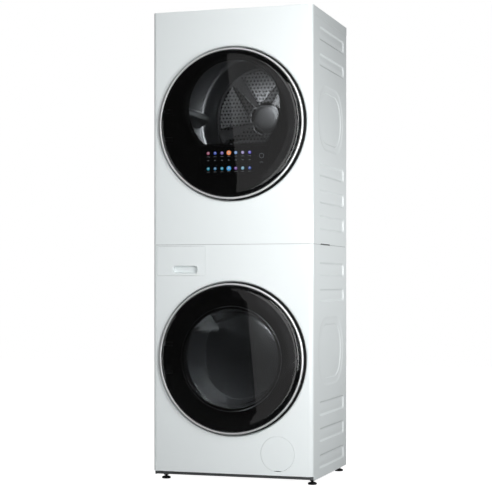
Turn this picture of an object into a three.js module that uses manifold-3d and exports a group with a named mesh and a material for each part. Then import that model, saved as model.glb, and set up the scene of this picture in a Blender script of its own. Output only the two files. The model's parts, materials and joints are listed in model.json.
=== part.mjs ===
// Washer dryer stack: a heat pump dryer fixed on top of a front loading washer,
// with one round door on each machine. Millimetres, +X to the right of a person
// facing the doors, +Y to the back, +Z up. Origin: centre of the footprint, on the floor.
import * as THREE from 'three';
import { mergeVertices } from 'three/addons/utils/BufferGeometryUtils.js';
import Module from 'manifold-3d';

const wasm = await Module();
wasm.setup();

// ---- driving dimensions; Y runs back from the plane of the front panels ----
const WIDTH = 595;
const HEIGHT = 1685;
const BODY_BACK = 490;            // rear edge of the side panels
const COVER_BACK = 497;           // rear edge of the overhanging top cover
const GLASS_PROUD = 25;           // how far the door glass stands in front of the panels
const SPLIT_Z = 849.5;            // joint between the two machines
const SHEET = 1.5;                // panel thickness
const GAP = 0.5;                  // clearance between neighbouring panels
const CORNER_R = 14;              // rounded vertical edges of the front panels
const RETURN_Y = 20;              // depth of the front panel's side returns
const PANEL_FOOT_Z = 36.5;        // lower edge of the washer's front panel
const SIDE_FOOT_Z = 21;           // lower edge of the washer's side panels
const COVER_Z = 1654;             // lower edge of the top cover

const DOOR_R = 268;               // outside of the door's metal ring
const GLASS_R = 260;
const FRAME_R = 264;
const RECESS_R = 272.4;           // recess that the door closes into
const RECESS_Y = 20.5;
const RECESS_EDGE_R = 281;        // where the recess rolls out into the flat panel
const HINGE_X = -256;
const HINGE_Y = -5;
const HINGE_ARM_Z = 50;           // hinge arms above and below the door's centre
const HINGE_ARM_W = 12;
const PIN_R = 2.5;
const LATCH_X = 241;

const WASHER_DOOR_Z = 444;        // also the axis of the washer's tub and drum
const WASHER_OPENING_R = 203;
const TUB_R = 262;
const TUB_FRONT = 70;
const TUB_BACK = 392;
const DRUM_R = 240;
const DRUM_FRONT = 82;
const DRUM_BACK = 366;
const DRUM_MOUTH_R = 196;
const SHAFT_R = 17;
const PULLEY_R = 140;
const MOTOR_PULLEY_R = 12;
const MOTOR_AT = { x: 150, z: 120 };
const BELT_Y = 414;
const BELT_W = 12;

const DRYER_DOOR_Z = 1277;
const DRYER_DRUM_Z = 1342;
const DRYER_OPENING_R = 192;
const DRYER_DRUM_R = 272;
const DRYER_DRUM_FRONT = 62;
const DRYER_DRUM_BACK = 436;
const DRYER_PLATE_R = 206;
const DRYER_MOTOR_AT = { x: 190, z: 960 };
const DRYER_PULLEY_R = 10;
const DRYER_BELT_Y = 112;

const DRAWER = { x0: -283, x1: -99, z0: 739, z1: 844 };
const DRAWER_GRIP = { x0: -224, x1: -128, z0: 746, z1: 775, depth: 18 };
const DRAWER_TRAY = { x0: -275, x1: -107, y0: 22.5, y1: 300, z0: 752, z1: 838 };
const FILTER_AT = { x: 170, z: 112 };
const FILTER_COVER_R = 61.5;
const FILTER_FLAT_Z = 53;         // hinged lower edge of the filter cover
const FOOT = { x: 276, front: 76, back: 459, padR: 16, studR: 5, top: 44 };

const STAMP_DEPTH = 4;            // side panel stampings, pressed inwards
const STAMP_Y = { y0: 93, y1: 450 };
const WASHER_RIBS = [[736, 787], [645, 692], [239, 292], [147, 198], [53, 104]];
const WASHER_OVAL = { y0: 78, y1: 437, z0: 341, z1: 592 };
const DRYER_RIBS = [[1575, 1625], [1483, 1529], [1091, 1140], [995, 1046], [901, 954]];
const DRYER_OVAL = { y0: 78, y1: 437, z0: 1185, z1: 1426 };

// ---- derived places ----
const HALF = WIDTH / 2;
const INSIDE_X = HALF - SHEET - GAP;              // what stands between the side panels
const FRONT_MOST = -GLASS_PROUD;
const MIDDLE_Y = (FRONT_MOST + COVER_BACK) / 2;
const BACK_Y = BODY_BACK - 3.6;                   // front face of the back panels
const RING_STEPS = 24;

// ---- materials ----
function finish(color, roughness, metalness) {
  return new THREE.MeshStandardMaterial({ color, roughness, metalness });
}
const whitePaint = finish(0xeef2f2, 0.35, 0);
const darkPlastic = finish(0x2a2c2e, 0.5, 0);
const blackPlastic = finish(0x121314, 0.45, 0);
const palePlastic = finish(0xd6dadb, 0.45, 0);
const doorGlass = finish(0x0b0c0d, 0.05, 0);
const clearGlass = finish(0x9fa8ac, 0.05, 0);
const brightMetal = finish(0xbabcbb, 0.2, 1);
const drumSteel = finish(0xb4b7b8, 0.3, 1);
const castMetal = finish(0x8d9194, 0.45, 1);
const springSteel = finish(0x6d7073, 0.4, 1);
const concrete = finish(0x9a9a96, 0.95, 0);
const rubber = finish(0x4a4d50, 0.8, 0);
const beltRubber = finish(0x1c1c1d, 0.85, 0);
const displayPlastic = finish(0x08090a, 0.2, 0);

// ---- solids ----
function solidOf(geometry) {
  const bare = geometry.clone();
  bare.deleteAttribute('normal');
  bare.deleteAttribute('uv');
  const merged = mergeVertices(bare, 1e-4);
  const corners = merged.index.array;
  const kept = [];
  for (let i = 0; i < corners.length; i += 3) {
    const [a, b, c] = [corners[i], corners[i + 1], corners[i + 2]];
    const isTriangle = a !== b && b !== c && c !== a;
    if (isTriangle) {
      kept.push(a, b, c);
    }
  }
  const vertProperties = merged.attributes.position.array;
  const triVerts = Uint32Array.from(kept);
  return new wasm.Manifold(new wasm.Mesh({ numProp: 3, vertProperties, triVerts }));
}

function geometryOf(solid) {
  const mesh = solid.getMesh();
  const geometry = new THREE.BufferGeometry();
  geometry.setAttribute('position', new THREE.BufferAttribute(mesh.vertProperties, 3));
  geometry.setIndex(new THREE.BufferAttribute(mesh.triVerts, 1));
  geometry.computeVertexNormals();
  return geometry;
}

function joined(...solids) {
  return solids.reduce((whole, next) => whole.add(next));
}

function cut(solid, ...tools) {
  return tools.reduce((left, tool) => left.subtract(tool), solid);
}

function box(x0, x1, y0, y1, z0, z1) {
  const geometry = new THREE.BoxGeometry(x1 - x0, y1 - y0, z1 - z0);
  geometry.translate((x0 + x1) / 2, (y0 + y1) / 2, (z0 + z1) / 2);
  return solidOf(geometry);
}

// The same as box, with the two x values in either order.
function block(xa, xb, y0, y1, z0, z1) {
  return box(Math.min(xa, xb), Math.max(xa, xb), y0, y1, z0, z1);
}

// A ring or disc turned about a line along Y. The profile is a list of [radius, y].
function turned(profile, x = 0, z = 0, steps = RING_STEPS) {
  const closed = profile[0][0] > 0 ? [...profile, profile[0]] : profile;
  let area = 0;
  closed.forEach(([r, y], i) => {
    const [nextR, nextY] = closed[(i + 1) % closed.length];
    area += r * nextY - nextR * y;
  });
  const ordered = area > 0 ? closed : [...closed].reverse();
  const points = ordered.map(([r, y]) => new THREE.Vector2(r, y));
  const geometry = new THREE.LatheGeometry(points, steps);
  geometry.translate(x, 0, z);
  return solidOf(geometry);
}

function rodAlongY(radius, y0, y1, x = 0, z = 0, steps = 16) {
  return turned([[0, y0], [radius, y0], [radius, y1], [0, y1]], x, z, steps);
}

function rodAlongZ(radius, z0, z1, x = 0, y = 0, steps = 10) {
  const geometry = new THREE.CylinderGeometry(radius, radius, z1 - z0, steps);
  geometry.rotateX(Math.PI / 2);
  geometry.translate(x, y, (z0 + z1) / 2);
  return solidOf(geometry);
}

// Extrusions of an outline: facing the front (x, z), the side (y, z) or the sky (x, y).
function extruded(shape, depth, curveSegments) {
  return new THREE.ExtrudeGeometry(shape, { depth, bevelEnabled: false, curveSegments });
}

function frontal(shape, y0, y1, curveSegments = 2) {
  const geometry = extruded(shape, y1 - y0, curveSegments);
  geometry.rotateX(Math.PI / 2);
  geometry.translate(0, y1, 0);
  return solidOf(geometry);
}

function sideways(shape, xa, xb, curveSegments = 1) {
  const geometry = extruded(shape, Math.abs(xb - xa), curveSegments);
  const toSide = new THREE.Matrix4().makeBasis(
    new THREE.Vector3(0, 1, 0),
    new THREE.Vector3(0, 0, 1),
    new THREE.Vector3(1, 0, 0),
  );
  geometry.applyMatrix4(toSide);
  geometry.translate(Math.min(xa, xb), 0, 0);
  return solidOf(geometry);
}

function level(shape, z0, z1, curveSegments = 3) {
  const geometry = extruded(shape, z1 - z0, curveSegments);
  geometry.translate(0, 0, z0);
  return solidOf(geometry);
}

function roundedRect(a0, a1, b0, b1, r) {
  const shape = new THREE.Shape();
  shape.moveTo(a0 + r, b0);
  shape.absarc(a1 - r, b0 + r, r, -Math.PI / 2, 0, false);
  shape.absarc(a1 - r, b1 - r, r, 0, Math.PI / 2, false);
  shape.absarc(a0 + r, b1 - r, r, Math.PI / 2, Math.PI, false);
  shape.absarc(a0 + r, b0 + r, r, Math.PI, 1.5 * Math.PI, false);
  return shape;
}

// A circle whose lower part is cut off by a level line at height flat.
function flattenedCircle(Kind, centre, radius, flat) {
  const dip = Math.asin((centre - flat) / radius);
  const outline = new Kind();
  outline.absarc(0, centre, radius, -dip, Math.PI + dip, false);
  outline.closePath();
  return outline;
}

// The loop that a belt lies in round two pulleys, grown by a distance.
function beltLoop(Kind, large, small, grow) {
  const across = Math.hypot(small.x - large.x, small.z - large.z);
  const heading = Math.atan2(small.z - large.z, small.x - large.x);
  const spread = Math.acos((large.r - small.r) / across);
  const loop = new Kind();
  const from = heading + spread;
  const to = heading - spread;
  loop.absarc(large.x, large.z, large.r + grow, from, to + 2 * Math.PI, false);
  loop.absarc(small.x, small.z, small.r + grow, to, from, false);
  loop.closePath();
  return loop;
}

function belt(large, small, y0, width) {
  const clearance = 1.5;
  const thickness = 2.5;
  const shape = beltLoop(THREE.Shape, large, small, clearance + thickness);
  shape.holes.push(beltLoop(THREE.Path, large, small, clearance));
  return frontal(shape, y0, y0 + width, 12);
}

function place(parent, name, solid, material) {
  const mesh = new THREE.Mesh(geometryOf(solid), material);
  mesh.name = name;
  parent.add(mesh);
  return mesh;
}

// ---- cabinet panels ----
function frontSection(inset, backY) {
  const r = CORNER_R - inset;
  const x = HALF - inset;
  const shape = new THREE.Shape();
  shape.moveTo(-x, backY);
  shape.absarc(-x + r, inset + r, r, Math.PI, 1.5 * Math.PI, false);
  shape.absarc(x - r, inset + r, r, 1.5 * Math.PI, 2 * Math.PI, false);
  shape.lineTo(x, backY);
  return shape;
}

// A folded sheet with the round recess for a door pressed into it, and the loading
// opening with its rolled collar cut through the recess's floor.
function frontPanel({ z0, z1, doorZ, openingZ, openingR, hasTopLip }) {
  const hollowTop = hasTopLip ? z1 - SHEET : z1 + 1;
  const folded = level(frontSection(0, RETURN_Y), z0, z1);
  const skin = cut(folded, level(frontSection(SHEET, RETURN_Y + 5), z0 - 1, hollowTop));
  const face = cut(skin, rodAlongY(RECESS_EDGE_R, -1, 3, 0, doorZ, RING_STEPS));
  const dish = turned([
    [0, RECESS_Y], [RECESS_R, RECESS_Y], [RECESS_R + 1.2, 10], [RECESS_R + 4, 3.4],
    [RECESS_EDGE_R, 0], [RECESS_EDGE_R + 1, 0], [RECESS_EDGE_R + 1, SHEET],
    [RECESS_R + 5, 5], [RECESS_R + 2.7, 10.6], [RECESS_R + 1.5, RECESS_Y + SHEET],
    [0, RECESS_Y + SHEET],
  ], 0, doorZ);
  const collar = turned([
    [openingR, RECESS_Y], [openingR + SHEET, RECESS_Y], [openingR + SHEET, 34], [openingR, 34],
  ], 0, openingZ);
  const opening = rodAlongY(openingR + 0.6, 10, 40, 0, openingZ, RING_STEPS);
  const latchSlot = box(LATCH_X - 9, LATCH_X + 8, 15, 30, doorZ - 14, doorZ + 14);
  return joined(cut(joined(face, dish), opening, latchSlot), collar);
}

function washerFrontPanel() {
  const panel = frontPanel({
    z0: PANEL_FOOT_Z, z1: SPLIT_Z - GAP, doorZ: WASHER_DOOR_Z,
    openingZ: WASHER_DOOR_Z, openingR: WASHER_OPENING_R, hasTopLip: false,
  });
  const slit = 0.7;
  const drawerHole = frontal(
    roundedRect(DRAWER.x0 - slit, DRAWER.x1 + slit, DRAWER.z0 - slit, DRAWER.z1 + slit, 4),
    -1, 4,
  );
  const filterHole = cut(
    rodAlongY(FILTER_COVER_R + slit, -1, 4, FILTER_AT.x, FILTER_AT.z, 28),
    box(FILTER_AT.x - 80, FILTER_AT.x + 80, -2, 5, 0, FILTER_FLAT_Z - 0.4),
  );
  return cut(panel, drawerHole, filterHole);
}

function dryerFrontPanel() {
  return frontPanel({
    z0: SPLIT_Z + GAP, z1: HEIGHT, doorZ: DRYER_DOOR_Z,
    openingZ: DRYER_DRUM_Z - 2, openingR: DRYER_OPENING_R, hasTopLip: true,
  });
}

// One side panel. side is +1 for the right and -1 for the left.
function sidePanel(side, z0, z1, ribs, oval) {
  const outer = side * HALF;
  const inner = side * (HALF - SHEET);
  const floorX = side * (HALF - STAMP_DEPTH);
  const backX = side * (HALF - STAMP_DEPTH - SHEET);
  const ovalR = 110;
  let panel = block(inner, outer, RETURN_Y + GAP, BODY_BACK, z0, z1);
  const { y0, y1 } = STAMP_Y;
  ribs.forEach(([low, high]) => {
    panel = panel.add(block(backX, outer, y0 - SHEET, y1 + SHEET, low - SHEET, high + SHEET));
  });
  const pressed = roundedRect(
    oval.y0 - SHEET, oval.y1 + SHEET, oval.z0 - SHEET, oval.z1 + SHEET, ovalR + SHEET,
  );
  const ovalHollow = roundedRect(oval.y0, oval.y1, oval.z0, oval.z1, ovalR);
  panel = panel.add(sideways(pressed, backX, outer));
  ribs.forEach(([low, high]) => {
    panel = panel.subtract(block(floorX, outer + side, y0, y1, low, high));
  });
  return panel.subtract(sideways(ovalHollow, floorX, outer + side));
}

// A back panel with a round pressed cover, a few vents and holes for what passes through.
function backPanel({ z0, z1, roundZ, roundR, vents, holes }) {
  const y0 = BACK_Y;
  const y1 = BACK_Y + SHEET;
  const bulge = 4;
  const flat = box(-INSIDE_X, INSIDE_X, y0, y1, z0, z1);
  const raised = rodAlongY(roundR, y0, y1 + bulge, 0, roundZ, 20);
  const hollow = rodAlongY(roundR - SHEET, y0 - 1, y1 + bulge - SHEET, 0, roundZ, 20);
  const slots = vents.map((z) => box(-60, 60, y0 - 1, y1 + 1, z, z + 8));
  const bores = holes.map((h) => rodAlongY(h.r, y0 - 1, y1 + 1, h.x, h.z, 16));
  return cut(joined(flat, raised), hollow, ...slots, ...bores);
}

function topCover() {
  const shell = box(-HALF, HALF, RETURN_Y + GAP, COVER_BACK, COVER_Z, HEIGHT);
  const hollow = box(
    -HALF + SHEET, HALF - SHEET, RETURN_Y + GAP + SHEET, COVER_BACK - SHEET,
    COVER_Z - 1, HEIGHT - SHEET,
  );
  return cut(shell, hollow);
}

function baseTray() {
  const y0 = 15;
  const y1 = BACK_Y - GAP;
  const z0 = 24;
  const wall = 2;
  const shell = box(-INSIDE_X, INSIDE_X, y0, y1, z0, 48);
  const hollow = box(-INSIDE_X + wall, INSIDE_X - wall, y0 + wall, y1 - wall, z0 + 3, 60);
  const holes = footPlaces().map((f) => rodAlongZ(FOOT.studR + 0.4, 20, 30, f.x, f.y));
  return cut(shell, hollow, ...holes);
}

function stackingFrame() {
  const z0 = 843;
  const floor = 4;
  const wall = 2;
  const y0 = 22;
  const y1 = BACK_Y - GAP;
  const shell = box(-INSIDE_X, INSIDE_X, y0, y1, z0, 875);
  const hollow = box(-INSIDE_X + wall, INSIDE_X - wall, y0 + wall, y1 - wall, z0 + floor, 880);
  return cut(shell, hollow);
}

function footPlaces() {
  return [
    { name: 'foot_front_left', x: -FOOT.x, y: FOOT.front },
    { name: 'foot_front_right', x: FOOT.x, y: FOOT.front },
    { name: 'foot_rear_left', x: -FOOT.x, y: FOOT.back },
    { name: 'foot_rear_right', x: FOOT.x, y: FOOT.back },
  ];
}

function foot() {
  const pad = rodAlongZ(FOOT.padR, 0, 7, 0, 0, 16);
  const neck = rodAlongZ(9, 6.5, 12, 0, 0, 6);
  return joined(pad, neck, rodAlongZ(FOOT.studR, 11, FOOT.top));
}

// ---- doors; centred on the door's own middle ----
function glassDisc() {
  return turned([
    [0, -GLASS_PROUD], [214, -GLASS_PROUD], [244, -22.4], [GLASS_R, -13],
    [257, -12.8], [242, -18.6], [213, -21], [0, -21],
  ]);
}

function doorRing() {
  return turned([
    [GLASS_R + 0.5, -14], [264, -15.5], [DOOR_R, -12.5], [DOOR_R, -10.2], [GLASS_R + 0.5, -10.2],
  ]);
}

const FRAME_FRONT = -9.4;
const FRAME_BACK = 12;

// Cuts the pockets that the hinge arms turn in, then adds the hinge pins and the latch hook.
function withHingeAndHook(ring) {
  const pocketHalf = HINGE_ARM_W / 2 + 2;
  const pockets = [-1, 1].map((s) => {
    const z = s * HINGE_ARM_Z;
    return box(-275, -218, FRAME_FRONT - 1, FRAME_BACK + 1, z - pocketHalf, z + pocketHalf);
  });
  const pins = [-1, 1].map((s) => {
    const z = s * HINGE_ARM_Z;
    return rodAlongZ(PIN_R, z - pocketHalf - 2, z + pocketHalf + 2, HINGE_X, HINGE_Y, 12);
  });
  const stem = box(LATCH_X - 3, LATCH_X + 1, FRAME_BACK - 1, 33, -8, 8);
  const nose = box(LATCH_X - 3, LATCH_X + 4, 28, 33, -8, 8);
  return joined(cut(ring, ...pockets), ...pins, stem, nose);
}

function washerDoorFrame() {
  const ring = turned([
    [188, FRAME_FRONT], [FRAME_R, FRAME_FRONT], [FRAME_R, FRAME_BACK], [188, FRAME_BACK],
  ]);
  return withHingeAndHook(ring);
}

function washerDoorBowl() {
  return turned([
    [0, 100], [140, 100], [158, 84], [172, 20], [184, 0], [184, -9], [178, -9],
    [178, -1], [167, 19], [153, 82], [138, 95], [0, 95],
  ]);
}

function dryerDoorFrame() {
  const windowUp = DRYER_DRUM_Z - 4 - DRYER_DOOR_Z;
  const plugUp = DRYER_DRUM_Z - 2 - DRYER_DOOR_Z;
  const flat = -77;
  const disc = new THREE.Shape();
  disc.absarc(0, 0, FRAME_R, 0, 2 * Math.PI, false);
  disc.holes.push(flattenedCircle(THREE.Path, windowUp, 186, flat));
  const flange = new THREE.Shape();
  flange.absarc(0, 0, FRAME_R, 0, 2 * Math.PI, false);
  flange.holes.push(flattenedCircle(THREE.Path, plugUp, 170, flat));
  const plug = new THREE.Shape();
  plug.absarc(0, plugUp, 176, 0, 2 * Math.PI, false);
  plug.holes.push(flattenedCircle(THREE.Path, plugUp, 170, flat));
  const ring = joined(
    frontal(disc, FRAME_FRONT, 4.5, RING_STEPS / 2),
    frontal(flange, 4, FRAME_BACK, RING_STEPS / 2),
    frontal(plug, FRAME_BACK - 1, 34, RING_STEPS / 2),
  );
  return withHingeAndHook(ring);
}

// The touch panel that is bonded to the back of the dryer's door glass.
function displayPanel() {
  return frontal(roundedRect(-110, 140, -182, -84, 8), -19.4, -15);
}

// The fixed half of a hinge: a plate on the recess's floor and two arms with eyes.
function hingeBracket() {
  const plate = frontal(roundedRect(-240, -214, -66, 66, 5), RECESS_Y - 3.2, RECESS_Y - 0.4);
  const reach = 24;
  const side = 2.2;
  const arms = [-1, 1].map((s) => {
    const arm = new THREE.Shape();
    arm.moveTo(HINGE_X - side, HINGE_Y + side);
    arm.lineTo(HINGE_X + side, HINGE_Y - side);
    arm.lineTo(HINGE_X + reach + side, HINGE_Y + reach - side);
    arm.lineTo(HINGE_X + reach + side, HINGE_Y + reach);
    arm.lineTo(HINGE_X + reach - side, HINGE_Y + reach);
    arm.closePath();
    const low = s * HINGE_ARM_Z - HINGE_ARM_W / 2;
    const high = low + HINGE_ARM_W;
    const eye = rodAlongZ(4.5, low, high, HINGE_X, HINGE_Y, 12);
    return joined(level(arm, low, high), eye);
  });
  const bores = [-1, 1].map((s) => {
    const z = s * HINGE_ARM_Z;
    return rodAlongZ(PIN_R + 0.4, z - 20, z + 20, HINGE_X, HINGE_Y, 12);
  });
  return cut(joined(plate, ...arms), ...bores);
}

// ---- washer insides ----
function washerTub() {
  const shell = turned([
    [205, TUB_FRONT], [TUB_R, TUB_FRONT], [TUB_R, TUB_BACK], [50, TUB_BACK], [50, 404],
    [SHAFT_R + 3, 404], [SHAFT_R + 3, 377], [256, 377], [256, TUB_FRONT + 6], [205, TUB_FRONT + 6],
  ], 0, WASHER_DOOR_Z);
  const ears = [-1, 1].map((s) => {
    const near = Math.min(s * 196, s * 238);
    return box(near, near + 42, 352, 370, WASHER_DOOR_Z + 110, WASHER_DOOR_Z + 176);
  });
  const hollow = rodAlongY(259, TUB_FRONT + 2, 380, 0, WASHER_DOOR_Z, RING_STEPS);
  const trimmedEars = ears.map((ear) => cut(ear, hollow));
  return joined(shell, ...trimmedEars);
}

function counterweight() {
  const shape = new THREE.Shape();
  const from = Math.PI * 0.14;
  const to = Math.PI * 0.86;
  shape.absarc(0, WASHER_DOOR_Z, 258, from, to, false);
  shape.absarc(0, WASHER_DOOR_Z, 212, to, from, true);
  shape.closePath();
  return frontal(shape, 40, TUB_FRONT - 0.5, 8);
}

function doorGasket() {
  return turned([
    [192, 24], [202.4, 24], [202.4, 36], [197, 48], [204.4, 60], [204.4, 77],
    [200, 77], [200, 63], [191, 50],
  ], 0, WASHER_DOOR_Z);
}

function washerDrum() {
  const wall = 2;
  return turned([
    [0, DRUM_BACK - wall], [DRUM_R - wall, DRUM_BACK - wall], [DRUM_R - wall, DRUM_FRONT + wall],
    [DRUM_MOUTH_R, DRUM_FRONT + wall], [DRUM_MOUTH_R, DRUM_FRONT], [DRUM_R, DRUM_FRONT],
    [DRUM_R, DRUM_BACK], [0, DRUM_BACK],
  ]);
}

// A lifting rib along the drum, standing in from the wall; it is turned into place.
function liftingRib(baseR, height, halfWidth, y0, y1) {
  const crest = halfWidth * 0.3;
  const shape = new THREE.Shape();
  shape.moveTo(-halfWidth, baseR);
  shape.quadraticCurveTo(-crest - 3, baseR - height * 0.35, -crest, baseR - height + 4);
  shape.quadraticCurveTo(0, baseR - height - 3, crest, baseR - height + 4);
  shape.quadraticCurveTo(crest + 3, baseR - height * 0.35, halfWidth, baseR);
  shape.closePath();
  return frontal(shape, y0, y1);
}

function drumSpider() {
  const y0 = DRUM_BACK + 0.5;
  const y1 = 375.5;
  const arms = [0, 1, 2].map((i) => {
    const arm = new THREE.BoxGeometry(36, y1 - y0, 205);
    arm.translate(0, (y0 + y1) / 2, 102.5);
    arm.rotateY((i * 2 * Math.PI) / 3);
    return solidOf(arm);
  });
  const hub = rodAlongY(48, y0, y1, 0, 0, 32);
  return joined(hub, ...arms, rodAlongY(SHAFT_R, y0, 432));
}

function drumPulley() {
  const y1 = BELT_Y + BELT_W + 2;
  const y0 = BELT_Y - 2;
  const bore = SHAFT_R + 0.4;
  const wheel = turned([
    [bore, 408], [32, 408], [32, 418], [128, 418], [128, y0], [PULLEY_R, y0], [PULLEY_R, y1],
    [128, y1], [128, 422], [32, 422], [32, 430], [bore, 430],
  ]);
  const holes = [0, 1, 2, 3, 4].map((i) => {
    const turn = (i * 2 * Math.PI) / 5;
    return rodAlongY(30, 410, 430, 80 * Math.cos(turn), 80 * Math.sin(turn), 8);
  });
  return cut(wheel, ...holes);
}

function washerMotor() {
  return turned([
    [0, 300], [52, 300], [60, 308], [60, 392], [52, 400], [9, 400], [9, 375], [0, 375],
  ], MOTOR_AT.x, MOTOR_AT.z, 14);
}

function motorPulley() {
  const y0 = BELT_Y - 2;
  return turned([
    [0, 380], [8, 380], [8, y0], [MOTOR_PULLEY_R, y0], [MOTOR_PULLEY_R, y0 + BELT_W + 4],
    [0, y0 + BELT_W + 4],
  ], 0, 0, 16);
}

// A close coil that hangs the tub from the frame above it.
function tubSpring(x) {
  const turns = 7;
  const stepsPerTurn = 6;
  const z0 = 622;
  const z1 = 838;
  const wire = new THREE.Shape();
  const wireR = 2.2;
  const coilR = 13;
  wire.absarc(0, 0, wireR, 0, 2 * Math.PI, false);
  const points = [];
  for (let i = 0; i <= turns * stepsPerTurn; i += 1) {
    const turn = (i / stepsPerTurn) * 2 * Math.PI;
    const z = z0 + wireR + ((z1 - z0 - 2 * wireR) * i) / (turns * stepsPerTurn);
    points.push(new THREE.Vector3(x + coilR * Math.cos(turn), 361 + coilR * Math.sin(turn), z));
  }
  const geometry = new THREE.ExtrudeGeometry(wire, {
    steps: turns * stepsPerTurn, extrudePath: new THREE.CatmullRomCurve3(points), curveSegments: 2,
  });
  return solidOf(geometry);
}

// A friction strut from the tub's underside down to the tray.
function damper(side) {
  const top = new THREE.Vector3(side * 162, 240, 190);
  const foot = new THREE.Vector3(side * 214, 240, 62);
  const along = new THREE.Vector3().subVectors(foot, top);
  const total = along.length();
  const sleeve = new THREE.CylinderGeometry(14, 14, total * 0.55, 16);
  sleeve.translate(0, -total * 0.225, 0);
  const rod = new THREE.CylinderGeometry(6, 6, total * 0.95, 12);
  const strut = joined(solidOf(sleeve), solidOf(rod));
  const geometry = geometryOf(strut);
  const down = new THREE.Quaternion().setFromUnitVectors(
    new THREE.Vector3(0, -1, 0), along.clone().normalize(),
  );
  geometry.applyQuaternion(down);
  geometry.translate((top.x + foot.x) / 2, 240, (top.z + foot.z) / 2);
  return solidOf(geometry);
}

function drainPump() {
  return turned([
    [0, 96], [31, 96], [31, 30], [40, 30], [40, 140], [28, 150], [28, 195], [0, 195],
  ], FILTER_AT.x, FILTER_AT.z, 16);
}

function drainFilter() {
  const body = turned([[0, 26], [30, 26], [30, 34], [24, 38], [24, 92], [0, 92]], 0, 0, 16);
  const grip = box(-5, 5, 12, 27, -24, 24);
  return joined(body, grip);
}

function filterCover() {
  const disc = rodAlongY(FILTER_COVER_R, 0, 3, FILTER_AT.x, FILTER_AT.z, 28);
  const belowFlat = box(FILTER_AT.x - 80, FILTER_AT.x + 80, -1, 5, 0, FILTER_FLAT_Z);
  const fingerNotch = rodAlongY(7, -1, 1.2, FILTER_AT.x, FILTER_AT.z + FILTER_COVER_R, 16);
  return cut(disc, belowFlat, fingerNotch);
}

function inletValve() {
  const body = box(226, 274, 436, BACK_Y - GAP, 800, 841);
  const spout = rodAlongY(10, BACK_Y - 2, 496.5, 250, 829, 16);
  return joined(body, spout);
}

function cordGland() {
  return turned([
    [0, 480], [9, 480], [9, BACK_Y + 2.2], [14, BACK_Y + 2.2], [14, BACK_Y + 5], [7, 496], [0, 496],
  ], -240, 780, 20);
}

// ---- detergent drawer ----
function drawerFront() {
  const g = DRAWER_GRIP;
  const plate = frontal(roundedRect(DRAWER.x0, DRAWER.x1, DRAWER.z0, DRAWER.z1, 4), 0, 3);
  const wall = 2;
  const shell = frontal(
    roundedRect(g.x0 - wall, g.x1 + wall, g.z0 - wall, g.z1 + wall, 8), 2, g.depth + wall,
  );
  const hollow = frontal(roundedRect(g.x0, g.x1, g.z0, g.z1, 6), -1, g.depth);
  return cut(joined(plate, shell), hollow);
}

function trayCells() {
  const t = DRAWER_TRAY;
  const wall = 3;
  const lane = (t.x1 - t.x0 - 4 * wall) / 3;
  return [0, 1, 2].map((i) => {
    const x0 = t.x0 + wall + i * (lane + wall);
    return { x0, x1: x0 + lane, y0: t.y0 + wall, y1: t.y1 - wall, z0: t.z0 + wall, z1: t.z1 };
  });
}

function drawerTray() {
  const t = DRAWER_TRAY;
  const block = box(t.x0, t.x1, t.y0, t.y1, t.z0, t.z1);
  const cells = trayCells().map((c) => box(c.x0, c.x1, c.y0, c.y1, c.z0, c.z1 + 1));
  return cut(block, ...cells);
}

function dispenserBox() {
  const t = DRAWER_TRAY;
  const room = 1.2;
  const wall = 2;
  const shell = box(
    t.x0 - room - wall, t.x1 + room + wall, 26, t.y1 + room + wall, t.z0 - room - wall, 842,
  );
  const hollow = box(t.x0 - room, t.x1 + room, 20, t.y1 + room, t.z0 - room, 842 - wall);
  return cut(shell, hollow);
}

// ---- dryer insides ----
function dryerBulkhead() {
  const ring = turned([
    [190, 38], [285, 38], [285, 44], [196, 44], [196, 74], [190, 74],
  ], 0, DRYER_DRUM_Z);
  const filterSlot = box(-102, 102, 45.5, 58.5, 1130, 1192);
  return cut(ring, filterSlot);
}

function dryerDrum() {
  const wall = 2;
  return turned([
    [200, DRYER_DRUM_FRONT], [DRYER_DRUM_R, DRYER_DRUM_FRONT], [DRYER_DRUM_R, DRYER_DRUM_BACK - 12],
    [DRYER_DRUM_R - 12, DRYER_DRUM_BACK], [208, DRYER_DRUM_BACK], [208, DRYER_DRUM_BACK - wall],
    [DRYER_DRUM_R - 13, DRYER_DRUM_BACK - wall], [DRYER_DRUM_R - wall, DRYER_DRUM_BACK - 13],
    [DRYER_DRUM_R - wall, DRYER_DRUM_FRONT + wall], [200, DRYER_DRUM_FRONT + wall],
  ]);
}

// The perforated rear disc, dished a little, with its hub and the shaft that carries it.
function dryerDrumBack() {
  return turned([
    [0, 418], [46, 418], [52, 426], [200, 426], [DRYER_PLATE_R, 429], [DRYER_PLATE_R, 433],
    [198, 430], [50, 430], [44, 438], [12, 438], [12, 468], [0, 468],
  ]);
}

function lintFilter() {
  const frameOut = box(-98, 98, 47, 57, 1046, 1156);
  const screen = box(-88, 88, 50, 58, 1056, 1134);
  const grip = box(-30, 30, 50, 58, 1140, 1150);
  return cut(frameOut, screen, grip);
}

function compressor() {
  const shell = rodAlongZ(62, 848, 990, 170, 310, 24);
  const dome = rodAlongZ(50, 989, 1008, 170, 310, 24);
  return joined(shell, dome);
}

function heatExchanger() {
  const block = box(-230, 40, 150, 420, 848, 1000);
  const slots = [];
  for (let x = -220; x < 30; x += 20) {
    slots.push(box(x, x + 10, 149, 421, 870, 1001));
  }
  return cut(block, ...slots);
}

function dryerMotor() {
  const { x, z } = DRYER_MOTOR_AT;
  return turned([
    [0, 108], [DRYER_PULLEY_R, 108], [DRYER_PULLEY_R, 126], [7, 126], [7, 138], [38, 138],
    [45, 145], [45, 224], [38, 230], [0, 230],
  ], x, z, 14);
}

// ---- assembly ----
const stack = new THREE.Group();
stack.position.y = -MIDDLE_Y;

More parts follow.
